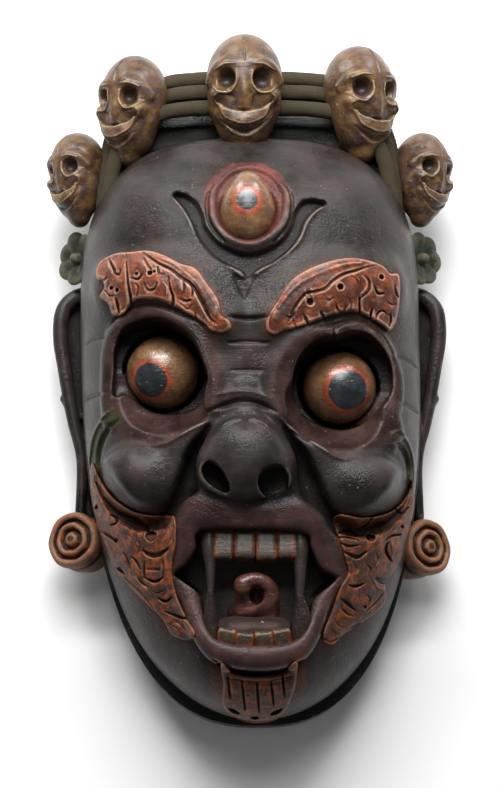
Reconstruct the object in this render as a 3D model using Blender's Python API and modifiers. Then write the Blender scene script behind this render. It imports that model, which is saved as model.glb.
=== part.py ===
"""A carved wooden dance mask of a wrathful guardian, lying face up on its flat back rim.

Frame: +X is the viewer's right as one looks down on the face, +Y runs from the chin to the crown,
+Z rises from the back rim to the nose. The origin is under the middle of the mask, on the rim plane.

The mask is one block of wood, so it is one object. It is modelled as a carver works: the big masses are
joined and smoothed, the sockets, mouth and hollow back are cut, the eyes, teeth and tongue that stand in
those hollows are joined on, and the back is sawn off flat. Sizes are in millimetres and MM turns them
into Blender's metres.
"""

import math

import bmesh
import bpy
from mathutils import Euler, Matrix, Vector

MM = 0.001

# The head is an egg in front view: a round dome above its centre and a long jaw below it.
HEAD_CENTRE = (0.0, 43.0, 35.0)
HEAD_HALF_WIDTH = 100.0
DOME_RISE = 104.0
JAW_DROP = 233.0
FACE_DEPTH = 93.0
JAW_FULLNESS = 2.56  # 2 is a plain ellipse, and more is squarer at the jaw
CAP_FULLNESS = 2.9  # the same for the skull cap
BROW_FULLNESS = 2.4  # the same for the profile from the rim up to the brow
JAW_LEAN = 5.0  # how far the chin stands to the right of the crown

# A flat band stands out round the foot of the jaw.
BAND_HALF_WIDTH = 100.5
BAND_DROP = 241.5
BAND_TOP = 40.0

# The hollow that the wearer's face goes into.
WALL = 14.0
SIDE_WALL = 16.0
HOLLOW_DEPTH = 101.0
EYE_BED = (34.0, 33.0, 22.0)
MOUTH_BED = ((4.0, -122.0, 74.0), (54.0, 44.0, 17.0))

# Crown: a low wall round the dome with three mouldings in front of it, and five skulls on them.
CROWN_ENDS_DEG = (1.0, 179.0)
CROWN_FULLNESS = 4.35
CROWN_STEPS = (60.0, 44.0)  # tops of the wall behind the first moulding and behind the last
MOULDING_RADIUS = 5.2
MOULDINGS = (
    {"width": 85.0, "rise": 117.0, "side_z": 60.0, "top_z": 74.5},
    {"width": 87.0, "rise": 128.5, "side_z": 52.0, "top_z": 68.5},
    {"width": 88.5, "rise": 139.5, "side_z": 43.0, "top_z": 60.0},
)
SKULLS = (
    {"at": (-3.0, 165.5, 84.0), "height": 75.5, "yaw": 0.0, "roll": 0.0},
    {"at": (-71.0, 160.0, 72.0), "height": 67.0, "yaw": -36.0, "roll": -5.0},
    {"at": (67.0, 164.0, 72.0), "height": 71.0, "yaw": 34.0, "roll": 3.0},
    {"at": (-104.5, 124.0, 50.0), "height": 58.0, "yaw": -44.0, "roll": 3.0},
    {"at": (105.0, 124.0, 50.0), "height": 58.0, "yaw": 44.0, "roll": -3.0},
)
ROSETTES = ((-101.5, 77.5, 38.0), (101.5, 77.5, 38.0))
ROSETTE_YAW_DEG = 44.0
ROSETTE_RADIUS = 16.0
PETALS = 7

# Plugs in the ear lobes, each with its turn outwards.
EAR_PLUGS = {-1: ((-97.0, -92.0, 24.0), -24.0), 1: ((96.0, -96.0, 24.0), 34.0)}

EYE_RADIUS = 20.8
EYE_CLEARANCE = 4.0
EYES = ((-49.0, -1.0, 90.0), (50.8, -9.8, 90.0))
BROW_EYE = {"at": (-1.0, 84.6, 120.5), "half": (14.2, 16.4, 11.5)}
BROW_EYE_TIP = {"at": (-1.0, 97.0, 118.6), "half": (7.2, 12.0, 8.6)}

MOUTH_CENTRE = (3.2, -122.0)
MOUTH_HALF = (44.0, 33.0)
MOUTH_FLOOR = 76.0

FINE_VOXEL = 1.5
ROUGH_VOXEL = 2.0
MOST_TRIANGLES = 9400


# ---------------------------------------------------------------- helpers


def clear_scene():
    """Removes every object of the startup scene."""
    for obj in list(bpy.data.objects):
        bpy.data.objects.remove(obj)


def new_object(name, mesh):
    """Links a mesh or curve to the scene as an object."""
    obj = bpy.data.objects.new(name, mesh)
    bpy.context.scene.collection.objects.link(obj)
    return obj


def to_mesh(obj):
    """Replaces an object by the mesh it evaluates to, in world space, with its caps welded."""
    graph = bpy.context.evaluated_depsgraph_get()
    graph.update()
    mesh = bpy.data.meshes.new_from_object(obj.evaluated_get(graph))
    mesh.transform(obj.matrix_world)
    work = bmesh.new()
    work.from_mesh(mesh)
    bmesh.ops.remove_doubles(work, verts=work.verts, dist=0.01 * MM)
    bmesh.ops.recalc_face_normals(work, faces=work.faces)
    work.to_mesh(mesh)
    work.free()
    made = new_object(obj.name + "_mesh", mesh)
    bpy.data.objects.remove(obj)
    return made


def join(name, objects):
    """Puts the faces of several objects into one, each still a closed shell of its own."""
    work = bmesh.new()
    for obj in objects:
        mesh = obj.data.copy()
        mesh.transform(obj.matrix_world)
        work.from_mesh(mesh)
        bpy.data.objects.remove(obj)
    mesh = bpy.data.meshes.new(name)
    work.to_mesh(mesh)
    work.free()
    return new_object(name, mesh)


def fuse(name, objects, voxel, passes):
    """Joins overlapping shells into one skin of small even faces, then softens its creases."""
    obj = join(name, objects)
    remesh = obj.modifiers.new("fuse", "REMESH")
    remesh.mode = "VOXEL"
    remesh.voxel_size = voxel * MM
    if passes:
        soften = obj.modifiers.new("soften", "SMOOTH")
        soften.factor = 0.5
        soften.iterations = passes
    return to_mesh(obj)


def cut(obj, cutters):
    """Cuts each shape out of an object in turn."""
    for cutter in cutters:
        difference = obj.modifiers.new("cut", "BOOLEAN")
        difference.operation = "DIFFERENCE"
        difference.object = cutter
        obj = to_mesh(obj)
        bpy.data.objects.remove(cutter)
    return obj


def drop_crumbs(obj):
    """Keeps only the largest connected piece of a mesh."""
    work = bmesh.new()
    work.from_mesh(obj.data)
    unseen = set(work.verts)
    pieces = []
    while unseen:
        piece, front = set(), {unseen.pop()}
        while front:
            piece |= front
            front = {edge.other_vert(vert) for vert in front for edge in vert.link_edges} - piece
        unseen -= piece
        pieces.append(piece)
    pieces.sort(key=len)
    for crumb in pieces[:-1]:
        bmesh.ops.delete(work, geom=list(crumb), context="VERTS")
    work.to_mesh(obj.data)
    work.free()


def centre_over_origin(obj):
    """Slides a mesh level until the middle of its outline is over the origin."""
    corners = [Vector(corner) for corner in obj.bound_box]
    middle = (corners[0] + corners[6]) / 2
    obj.data.transform(Matrix.Translation((-middle.x, -middle.y, 0.0)))


def ellipsoid(centre, half, turn_deg=(0.0, 0.0, 0.0), segments=32):
    """An ellipsoid from its centre, half sizes and turn."""
    mesh = bpy.data.meshes.new("ellipsoid")
    work = bmesh.new()
    bmesh.ops.create_uvsphere(work, u_segments=segments, v_segments=segments // 2, radius=1.0)
    turn = Euler([math.radians(angle) for angle in turn_deg]).to_matrix().to_4x4()
    place = Matrix.Translation(Vector(centre) * MM) @ turn @ Matrix.Diagonal((*(Vector(half) * MM), 1.0))
    work.transform(place)
    work.to_mesh(mesh)
    work.free()
    return new_object("ellipsoid", mesh)


def stroke(points, radii, samples=8):
    """A round ridge through points, with a radius at each, along a smooth curve with round ends."""
    curve = bpy.data.curves.new("stroke", "CURVE")
    curve.dimensions = "3D"
    curve.bevel_depth = MM
    curve.bevel_resolution = 4
    curve.resolution_u = samples
    curve.use_fill_caps = True
    spline = curve.splines.new("BEZIER")
    spline.bezier_points.add(len(points) - 1)
    for knot, point, radius in zip(spline.bezier_points, points, radii):
        knot.co = Vector(point) * MM
        knot.radius = radius
        knot.handle_left_type = knot.handle_right_type = "AUTO"
    tube = to_mesh(new_object("stroke", curve))
    ends = [ellipsoid(points[i], (radii[i],) * 3, segments=16) for i in (0, -1)]
    return [tube, *ends]


def slab(outline, low, high):
    """A flat plate with a smooth outline, standing from one height to another."""
    curve = bpy.data.curves.new("slab", "CURVE")
    curve.dimensions = "2D"
    curve.fill_mode = "BOTH"
    curve.extrude = (high - low) / 2 * MM
    curve.resolution_u = 6
    spline = curve.splines.new("BEZIER")
    spline.use_cyclic_u = True
    spline.bezier_points.add(len(outline) - 1)
    for knot, (x, y) in zip(spline.bezier_points, outline):
        knot.co = Vector((x, y, 0.0)) * MM
        knot.handle_left_type = knot.handle_right_type = "AUTO"
    obj = new_object("slab", curve)
    obj.location.z = (low + high) / 2 * MM
    bpy.context.view_layer.update()
    return to_mesh(obj)


def turned(profile, centre, turn_deg=(0.0, 0.0, 0.0), steps=40):
    """A turned piece: (radius, height) pairs from its top to its foot, spun round its own axis."""
    mesh = bpy.data.meshes.new("turned")
    work = bmesh.new()
    knots = [work.verts.new((radius * MM, 0.0, height * MM)) for radius, height in profile]
    for first, second in zip(knots, knots[1:]):
        work.edges.new((first, second))
    work.to_mesh(mesh)
    work.free()
    obj = new_object("turned", mesh)
    screw = obj.modifiers.new("turn", "SCREW")
    screw.steps = screw.render_steps = steps
    screw.use_merge_vertices = True
    screw.merge_threshold = 0.01 * MM
    obj.location = Vector(centre) * MM
    obj.rotation_euler = [math.radians(angle) for angle in turn_deg]
    bpy.context.view_layer.update()
    return to_mesh(obj)


def squareness(across, up, fullness):
    """How far a full outline stands out beyond a round one, in the direction (across, up)."""
    return (abs(across) ** fullness + abs(up) ** fullness) ** (-1 / fullness)


def egg_dome(half_width, rise, drop, depth, base_z):
    """The head's own form: an egg in front view, domed forward of its centre and straight behind it."""
    mesh = bpy.data.meshes.new("egg_dome")
    work = bmesh.new()
    bmesh.ops.create_uvsphere(work, u_segments=64, v_segments=40, radius=1.0)
    for vert in work.verts:
        x, y, z = vert.co
        reach = math.hypot(x, y)
        if reach < 1e-4:
            full = 1.0
        elif z > 0.0:
            full = (reach**BROW_FULLNESS + z**BROW_FULLNESS) ** (-1 / BROW_FULLNESS)
        else:
            full = 1.0 / reach
        if z > 0.0:
            z *= full
        if y < 0.0 and reach > 1e-4:
            full *= squareness(x / reach, y / reach, JAW_FULLNESS)
        elif reach > 1e-4:
            full *= squareness(x / reach, y / reach, CAP_FULLNESS)
        x, y = x * full, y * full
        height = y * (rise if y > 0.0 else drop)
        lean = JAW_LEAN * max(0.0, -y)
        level = HEAD_CENTRE[2] + z * (depth if z > 0.0 else HEAD_CENTRE[2] - base_z)
        vert.co = Vector((HEAD_CENTRE[0] + x * half_width + lean, HEAD_CENTRE[1] + height, level)) * MM
    work.to_mesh(mesh)
    work.free()
    return new_object("egg_dome", mesh)


def head_level(x, y):
    """The height of the plain egg's skin above a place in front view."""
    up = (y - HEAD_CENTRE[1]) / (DOME_RISE if y > HEAD_CENTRE[1] else JAW_DROP)
    across = (x - HEAD_CENTRE[0] + JAW_LEAN * min(0.0, up)) / HEAD_HALF_WIDTH
    full = JAW_FULLNESS if up < 0.0 else CAP_FULLNESS
    reach = min((abs(across) ** full + abs(up) ** full) ** (1 / full), 0.995)
    return HEAD_CENTRE[2] + FACE_DEPTH * (1 - reach**BROW_FULLNESS) ** (1 / BROW_FULLNESS)


def on_head(x, y, depth=0.0):
    """The point that lies a given depth under the head's skin, measured square to it."""
    step = 1.0
    slope_x = (head_level(x + step, y) - head_level(x - step, y)) / (2 * step)
    slope_y = (head_level(x, y + step) - head_level(x, y - step)) / (2 * step)
    outward = Vector((-slope_x, -slope_y, 1.0)).normalized()
    return Vector((x, y, head_level(x, y))) - outward * depth


def relief(places, proud):
    """A round ridge that follows the head's skin: (x, y, radius) at each place, and how far it stands out."""
    points = [on_head(x, y, radius - proud) for x, y, radius in places]
    return stroke(points, [radius for _, _, radius in places])


def trench(places, lean, lifts):
    """A groove that is open to the front: (x, y, z, radius) at each place, its walls leaning out by lean."""
    shells = []
    for lift in lifts:
        points = [(x, y, z + lift) for x, y, z, _ in places]
        shells += stroke(points, [radius + lean * lift for _, _, _, radius in places])
    return shells


def arch(width, rise, side_z, top_z, count=25):
    """Points along an arch over the dome, from the right end of the crown to the left one."""
    start, end = (math.radians(angle) for angle in CROWN_ENDS_DEG)
    points = []
    for i in range(count):
        angle = start + (end - start) * i / (count - 1)
        across = math.copysign(abs(math.cos(angle)) ** (2 / CROWN_FULLNESS), math.cos(angle))
        up = math.sin(angle) ** (2 / CROWN_FULLNESS)
        points.append((width * across, HEAD_CENTRE[1] + rise * up, side_z + (top_z - side_z) * up**1.5))
    return points


# ---------------------------------------------------------------- masses of the head


def jaw_band():
    """The flat band round the foot of the jaw."""
    outline = []
    for i in range(33):
        angle = math.pi * i / 32
        across, down = math.cos(angle), math.sin(angle)
        reach = squareness(across, down, JAW_FULLNESS)
        x = HEAD_CENTRE[0] + BAND_HALF_WIDTH * across * reach + JAW_LEAN * down * reach
        outline.append((x, HEAD_CENTRE[1] - BAND_DROP * down * reach))
    return [slab(outline, -12.0, BAND_TOP)]


def head_masses():
    """The egg of the head with the brows, lids, cheeks and nose standing out of it."""
    masses = [egg_dome(HEAD_HALF_WIDTH, DOME_RISE, JAW_DROP, FACE_DEPTH, -12.0)]
    masses += [ellipsoid((5, -146, 60), (46, 48, 45))]
    masses += relief([(-82, 50, 13), (-62, 50, 15), (-38, 42, 14), (-16, 20, 8)], 8.0)
    masses += relief([(80, 46, 13), (58, 45, 15), (32, 39, 14), (12, 20, 8)], 8.0)
    masses += [
        ellipsoid((-57, -62.5, 90), (27.5, 24, 31), (0, -10, 0)),
        ellipsoid((59, -66.5, 90), (29, 23, 31), (0, 12, -4)),
    ]
    masses += stroke([(-21, -37, 112), (-31, -43, 111), (-42, -52, 106), (-48, -60, 102)], (5, 9, 13, 16))
    masses += stroke([(18, -38, 113), (28, -45, 112), (40, -55, 107), (48, -63, 102)], (5, 9, 13, 16))
    masses += stroke([(-1, 30, 107), (-1, 8, 106), (-2, -8, 108.5), (-2.5, -22, 115)], (11, 11, 11.5, 14))
    masses += [
        ellipsoid((-2, -55.5, 121), (24.6, 24.2, 33.5)),
        ellipsoid((-18.4, -60, 119), (10.8, 13.6, 20.5)),
        ellipsoid((14.8, -60, 119), (10.8, 14.4, 20.5)),
    ]
    return masses


def fold_masses():
    """The rims of the sockets, the rolls of skin across the bridge and the ring round the brow eye."""
    left_lid = [(-80, -22, 5), (-80, 7, 5), (-66, 25, 5.5), (-50, 25.5, 5.5), (-32, 14, 5.5), (-20, -22, 5)]
    right_lid = [(83, -24, 5), (82, -2, 5), (68, 17, 5.5), (48, 15.5, 5.5), (27, 11.5, 5.5), (13.5, -22, 5)]
    masses = relief(left_lid, 3.0) + relief(right_lid, 3.0)
    masses += stroke([(-11.5, 13.4, 115), (0, 15, 118.6), (10, 13.4, 115)], (3.8, 5.6, 3.8))
    masses += stroke([(-11, 4.2, 116), (0, 5.2, 119), (9.6, 4.2, 116)], (2.6, 3.7, 2.6))
    masses += stroke([(-18, -20.5, 113), (-2, -14.4, 120.6), (13.5, -21, 113)], (4.2, 6.4, 4.2))
    turns = [math.radians(60.0 * i) for i in range(7)]
    ring = [(20 * math.sin(turn), 89 + 24 * math.cos(turn), 3.4) for turn in turns]
    masses += relief(ring, 1.9)
    return masses


def lip_masses():
    """The arched upper lip, the rolled lower lip, the beard on both jaws and the tuft under the lip."""
    upper = [
        (-42, -117, 98), (-36.5, -106, 104), (-31, -88, 110.5), (-10, -87.5, 113),
        (14, -87.5, 113.5), (34, -91, 110), (38.5, -101, 105.5), (50, -118, 98),
    ]
    lower = [
        (-42, -118, 97), (-30, -138, 101), (-18, -157.5, 105), (4, -162, 107),
        (26, -157.5, 105), (38, -136, 101), (50, -119, 97),
    ]
    masses = stroke(upper, (4, 6, 7.5, 8.5, 8.5, 7.5, 6.5, 4))
    masses += stroke(lower, (4, 5.6, 7.6, 8.4, 7.6, 5.6, 4))
    masses += relief([(-78, -80, 12), (-70, -98, 17), (-56, -124, 17), (-38, -148, 11)], 3.0)
    masses += relief([(83, -84, 12), (75, -102, 17), (63, -126, 17), (48, -148, 11)], 3.0)
    masses += [ellipsoid((5.5, -181, 82), (21, 14, 21), (-8, 0, 0))]
    return masses


def ear_masses(side):
    """One long ear: a flat shell with a rolled rim, a narrow lobe and the round plug in the lobe."""
    outline = [
        (90, 62), (105, 61), (115, 50), (117, 34), (114.5, 14), (110, -12),
        (103, -36), (101.5, -50), (102.5, -74), (94, -78), (88, 0),
    ]
    rim = [
        (92, 58, 25), (107, 54.5, 28.5), (113, 39, 30), (110.4, 13.5, 30),
        (106, -12, 30), (100.2, -36, 30), (99, -50, 30), (99.6, -76, 30),
    ]
    spool = [
        (0.0, 16.5), (5.0, 16.5), (6.0, 13.0), (8.5, 13.0), (9.5, 16.5), (12.5, 16.5), (13.5, 13.5),
        (16.5, 13.5), (19.5, 11.5), (20.5, 7.0), (19.5, 2.0), (20.5, -3.0), (19.0, -9.0), (0.0, -9.0),
    ]
    plug, yaw = EAR_PLUGS[side]
    shells = [slab([(side * x, y) for x, y in outline], 12.0, 24.5)]
    shells += stroke([(side * x, y, z) for x, y, z in rim], (4.4, 4.6, 4.6, 4.2, 3.8, 3.6, 3.6, 3.6))
    shells += [turned(spool, plug, (-5.0, yaw, 0.0))]
    return shells


# ---------------------------------------------------------------- crown


def crown_masses():
    """The crown's wall and its three mouldings."""
    masses = []
    for moulding, top in zip((MOULDINGS[0], MOULDINGS[-1]), CROWN_STEPS):
        masses.append(slab([(x, y) for x, y, _ in arch(**moulding)], -12.0, top))
    for moulding in MOULDINGS:
        points = arch(**moulding)
        masses += stroke(points, (MOULDING_RADIUS,) * len(points), samples=3)
    return masses


def skull(at, height, yaw, roll):
    """One skull: an egg of a cranium drawn in to a narrow jaw, with eye pits, nose pit and grin cut in."""
    unit = height / 72.0
    place = (
        Matrix.Translation(Vector(at) * MM)
        @ Euler((0.0, math.radians(yaw), math.radians(roll)), "ZYX").to_matrix().to_4x4()
        @ Matrix.Scale(unit, 4)
    )
    bone = [
        ellipsoid((0, 11, -4), (21.5, 25, 21), segments=24),
        ellipsoid((0, -7, -1), (18.5, 22, 16), segments=24),
        ellipsoid((0, -22, -3), (12, 14, 12), segments=24),
    ]
    pits = [
        ellipsoid((-10.5, 1, 15), (6.4, 6.0, 7), segments=16),
        ellipsoid((10.5, 1, 15), (6.4, 6.0, 7), segments=16),
        ellipsoid((0, -9.0, 17), (4.0, 4.6, 5), segments=16),
        ellipsoid((0, -17, 13), (13.0, 2.8, 5), segments=16),
    ]
    for obj in (*bone, *pits):
        obj.data.transform(place)
    return bone, pits


def rosette_masses(centre):
    """A flower at the crown's end: a ring of petals round a boss, turned a little outwards."""
    masses = [
        ellipsoid((0.0, 0.0, 10.0), (4.6, 4.6, 6.0), segments=16),
        ellipsoid((0.0, 0.0, -6.0), (13.0, 13.0, 14.0), segments=16),
    ]
    for i in range(PETALS):
        angle = 2 * math.pi * i / PETALS
        reach = ROSETTE_RADIUS * 0.62
        petal = (reach * math.cos(angle), reach * math.sin(angle), 2.0)
        masses.append(ellipsoid(petal, (6.4, 6.4, 7.0), segments=16))
    yaw = math.radians(math.copysign(ROSETTE_YAW_DEG, centre[0]))
    for obj in masses:
        obj.data.transform(Matrix.Translation(Vector(centre) * MM) @ Matrix.Rotation(yaw, 4, "Y"))
    return masses


# ---------------------------------------------------------------- what is cut away


def face_cutters():
    """The eye sockets, the valleys round the cheeks, the bed of the brow eye, the nostrils and the mouth."""
    cutters = [
        ellipsoid((-50, 0, 117), (28.5, 25, 31)),
        ellipsoid((52, -8, 117), (28.5, 25, 31)),
        ellipsoid((0, 88.7, 130), (18.6, 22, 15)),
        ellipsoid((-17.5, -66, 140), (6.0, 8.0, 30), (0, 0, 20), segments=24),
        ellipsoid((12, -66, 140), (7.0, 8.0, 30), (0, 0, -20), segments=24),
    ]
    clear = EYE_RADIUS + EYE_CLEARANCE
    for x, y, z in EYES:
        cutters.append(ellipsoid((x, y, z), (clear, clear, clear)))
        cutters.append(ellipsoid((x, y - 16, 126), (33, 24, 34)))
    left_valley = [
        (-23, -40, 121, 2), (-29.5, -51, 113, 3.8), (-32.5, -63, 108, 5), (-37, -76, 105, 5.4),
        (-44, -85.5, 102, 5), (-56, -89.5, 96, 4.6), (-70, -85, 86, 4), (-81, -74, 78, 3),
    ]
    right_valley = [
        (20, -41, 122, 2), (26.5, -52, 114, 3.8), (31, -64, 109, 5), (37, -78, 106, 5.4),
        (46, -88.5, 102, 5), (60, -92.5, 95, 4.6), (76, -87.5, 82.5, 4), (87.5, -76.5, 73, 3),
    ]
    cutters += trench(left_valley, 0.2, (0, 6, 12, 18)) + trench(right_valley, 0.2, (0, 6, 12, 18))
    left_flame = [(-41, 95, 2.8), (-33, 85, 3.8), (-28, 73, 4.2), (-18, 62.5, 4.2), (-1, 55, 3.6)]
    right_flame = [(40, 91, 2.8), (32, 84, 3.8), (26.5, 73, 4.2), (16, 61.5, 4.2), (-1, 55, 3.6)]
    cutters += relief(left_flame, 5.0) + relief(right_flame, 5.0)
    corners = (
        (-1.0, 0.16), (-0.72, 0.6), (-0.69, 0.86), (0.0, 0.89), (0.61, 0.82), (0.72, 0.5), (1.0, 0.08),
        (0.72, -0.3), (0.66, -0.75), (0.4, -1.0), (0.0, -1.04), (-0.38, -1.0), (-0.6, -0.75), (-0.66, -0.3),
    )
    middle_x, middle_y = MOUTH_CENTRE
    half_x, half_y = MOUTH_HALF
    outline = [(middle_x + half_x * x, middle_y + half_y * y) for x, y in corners]
    cutters.append(slab(outline, MOUTH_FLOOR, 160.0))
    return cutters


def hollow_cutter():
    """The hollowed back, a smaller egg dome that leaves wood behind the eyes and behind the mouth."""
    hollow_drop = BAND_DROP - WALL
    hollow_half = HEAD_HALF_WIDTH - SIDE_WALL
    dome = egg_dome(hollow_half, DOME_RISE - WALL, hollow_drop, HOLLOW_DEPTH - HEAD_CENTRE[2], -20.0)
    beds = [ellipsoid((x, y, 82), EYE_BED) for x, y, _ in EYES]
    beds.append(ellipsoid(*MOUTH_BED))
    return cut(dome, beds)


# ---------------------------------------------------------------- what stands in the hollows


def eye_inserts():
    """The three eyeballs, and the wood under the two lower ones."""
    shapes = [ellipsoid(place, (EYE_RADIUS,) * 3) for place in EYES]
    shapes += [ellipsoid((x, y, z - EYE_RADIUS), (14, 14, 8)) for x, y, z in EYES]
    shapes += [ellipsoid(lump["at"], lump["half"]) for lump in (BROW_EYE, BROW_EYE_TIP)]
    return shapes


def mouth_inserts():
    """The upper and lower teeth, the four fangs that meet tip to tip, and the curled tongue."""
    shapes = []
    upper = {"count": 4, "left": -20.5, "right": 27.0, "y": -101.5, "half_height": 9.0, "z": 106.0}
    lower = {"count": 4, "left": -17.5, "right": 23.0, "y": -153.5, "half_height": 7.4, "z": 103.0}
    for row in (upper, lower):
        width = (row["right"] - row["left"]) / row["count"]
        for i in range(row["count"]):
            x = row["left"] + width * (i + 0.5)
            half = (width * 0.6, row["half_height"], 7.5)
            shapes.append(ellipsoid((x, row["y"], row["z"]), half, segments=16))
    shapes += stroke([(-24, -159, 97), (2, -161, 99), (31, -159, 97)], (10, 10, 10))
    shapes += stroke([(-26, -88, 98), (2, -88, 100), (30, -88, 98)], (9, 9, 9))
    shapes += stroke([(-22.2, -95, 107), (-21.4, -128, 111)], (4.6, 2.4))
    shapes += stroke([(-20.6, -157, 102), (-21.1, -140, 107), (-21.3, -127, 111)], (4.6, 4.2, 2.4))
    shapes += stroke([(27.9, -95, 107), (27.3, -130, 111)], (4.8, 2.6))
    shapes += stroke([(27.4, -157, 102), (28.4, -141, 107), (27.4, -129, 111)], (5.2, 5.2, 2.6))
    shapes += [
        ellipsoid((2.5, -145.5, 97), (20, 6, 10)),
        ellipsoid((1, -141, 86), (13, 9, 12)),
        ellipsoid((1.5, -128, 93), (9.5, 9.5, 6)),
    ]
    curl = [
        (6, -147, 82), (9, -139, 91), (12, -131.5, 98), (11.6, -125.2, 101.5),
        (7.4, -120.8, 103.5), (1.8, -119.8, 104.4), (-3.2, -122.2, 104.2),
    ]
    shapes += stroke(curl, (9, 7.6, 4.8, 4.2, 4.0, 4.0, 5.0))
    return shapes


# ---------------------------------------------------------------- the mask


def wood():
    """Dark painted wood."""
    material = bpy.data.materials.new("painted_wood")
    material.use_nodes = True
    shader = material.node_tree.nodes["Principled BSDF"]
    shader.inputs["Base Color"].default_value = (0.035, 0.031, 0.030, 1.0)
    shader.inputs["Roughness"].default_value = 0.45
    shader.inputs["Metallic"].default_value = 0.0
    return material


def saw_box():
    """A block that reaches from far below up to the rim plane, so that the back is cut off flat."""
    mesh = bpy.data.meshes.new("saw_box")
    work = bmesh.new()
    bmesh.ops.create_cube(work, size=1.0)
    work.transform(Matrix.Translation((0, 0, -50 * MM)) @ Matrix.Diagonal((0.6, 0.6, 0.1, 1.0)))
    work.to_mesh(mesh)
    work.free()
    return new_object("saw_box", mesh)


def build_mask():
    """Carves the whole mask as one solid and returns it."""
    head = fuse("head", head_masses(), ROUGH_VOXEL, 6)
    trim = jaw_band() + fold_masses() + lip_masses() + ear_masses(-1) + ear_masses(1) + crown_masses()
    for centre in ROSETTES:
        trim += rosette_masses(centre)
    pits = []
    for place in SKULLS:
        bone, holes = skull(**place)
        trim += bone
        pits += holes
    block = fuse("block", [head, *trim], ROUGH_VOXEL, 2)
    block = cut(block, [fuse("cuts", pits + face_cutters(), FINE_VOXEL, 0), hollow_cutter()])
    solid = fuse("mask", [block, *eye_inserts(), *mouth_inserts()], FINE_VOXEL, 2)
    thin = solid.modifiers.new("thin", "DECIMATE")
    thin.ratio = MOST_TRIANGLES / sum(len(face.vertices) - 2 for face in solid.data.polygons)
    solid = cut(to_mesh(solid), [saw_box()])
    drop_crumbs(solid)
    centre_over_origin(solid)
    solid.name = "mask"
    solid.data.materials.clear()
    solid.data.materials.append(wood())
    return solid


def main():
    """Builds the mask and puts it in a collection of its own."""
    clear_scene()
    mask = build_mask()
    collection = bpy.data.collections.new("dance_mask")
    bpy.context.scene.collection.children.link(collection)
    collection.objects.link(mask)
    bpy.context.scene.collection.objects.unlink(mask)
    mask.data.shade_smooth()
    mask.data.set_sharp_from_angle(angle=math.radians(40))


main()
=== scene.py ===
"""The looks of a carved and painted wooden dance mask that lies face up on its back rim.

The head is carved the way a carver would: masses are laid on a block and blended, sockets and a
mouth are cut into it, low relief is worked into its skin, and its back is hollowed. The block is a
grid of signed distances in millimetres, in the same frame as the CAD: +X to the viewer's right, +Y to
the crown, +Z out of the face. What repeats or follows a path is made with Geometry Nodes. Paint is
laid in zones whose outlines ride on the skin as attributes, so that every edge keeps a brush's wobble.
"""

import logging
import math
from abc import ABC, abstractmethod
from dataclasses import dataclass
from enum import Enum

import bmesh
import bpy
import numpy as np
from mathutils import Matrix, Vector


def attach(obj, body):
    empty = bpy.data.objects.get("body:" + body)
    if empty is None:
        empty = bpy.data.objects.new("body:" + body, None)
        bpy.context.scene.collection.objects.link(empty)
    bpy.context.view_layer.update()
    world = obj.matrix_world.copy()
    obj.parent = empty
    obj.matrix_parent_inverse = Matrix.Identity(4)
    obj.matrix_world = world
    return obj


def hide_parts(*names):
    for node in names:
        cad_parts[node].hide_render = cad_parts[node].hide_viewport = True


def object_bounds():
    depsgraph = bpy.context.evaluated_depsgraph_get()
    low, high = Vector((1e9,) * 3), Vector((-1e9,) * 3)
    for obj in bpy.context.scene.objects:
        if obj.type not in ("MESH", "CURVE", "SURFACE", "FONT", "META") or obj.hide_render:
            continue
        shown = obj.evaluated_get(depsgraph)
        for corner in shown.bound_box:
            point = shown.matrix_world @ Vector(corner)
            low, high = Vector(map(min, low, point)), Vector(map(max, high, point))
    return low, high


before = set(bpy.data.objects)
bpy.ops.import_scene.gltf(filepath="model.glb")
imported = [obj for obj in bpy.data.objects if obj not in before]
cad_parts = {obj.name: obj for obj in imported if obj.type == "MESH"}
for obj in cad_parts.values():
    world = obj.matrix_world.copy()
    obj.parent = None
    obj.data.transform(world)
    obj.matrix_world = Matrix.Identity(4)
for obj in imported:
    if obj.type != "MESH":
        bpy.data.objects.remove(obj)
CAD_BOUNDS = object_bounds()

import openvdb
from mathutils import Euler, Matrix, Vector

logging.basicConfig(level=logging.INFO, format="%(message)s")
LOG = logging.getLogger("mask")

MM = 0.001
NODE = "mask"
FAR = 1.0e3  # further than any form, in millimetres
REACH = 30.0  # the edges of the paints are measured this far, in millimetres

Point = tuple[float, ...]
Colour = tuple[float, float, float]
Grid = tuple[np.ndarray, np.ndarray, np.ndarray]
Pair = tuple[np.ndarray, np.ndarray]
Piece = bpy.types.Object
Material = bpy.types.Material
Socket = bpy.types.NodeSocket


# ---------------------------------------------------------------- curves and blends


def smooth_min(first: np.ndarray, second: np.ndarray, blend: float) -> np.ndarray:
    """Joins two distance fields with a fillet.

    Args:
        first: Signed distances to one form.
        second: Signed distances to the other form.
        blend: Width of the fillet in millimetres; 0 leaves a crease.

    Returns:
        The signed distances to the union.
    """
    if blend <= 0.0:
        return np.minimum(first, second)
    overlap = np.maximum(blend - np.abs(first - second), 0.0) / blend
    return np.minimum(first, second) - overlap * overlap * (0.25 * blend)


def ease(value: np.ndarray) -> np.ndarray:
    """Clamps to 0..1 and rounds both ends of the ramp.

    Args:
        value: Any array.

    Returns:
        The smoothstep of the clamped values.
    """
    value = np.clip(value, 0.0, 1.0)
    return value * value * (3.0 - 2.0 * value)


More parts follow.
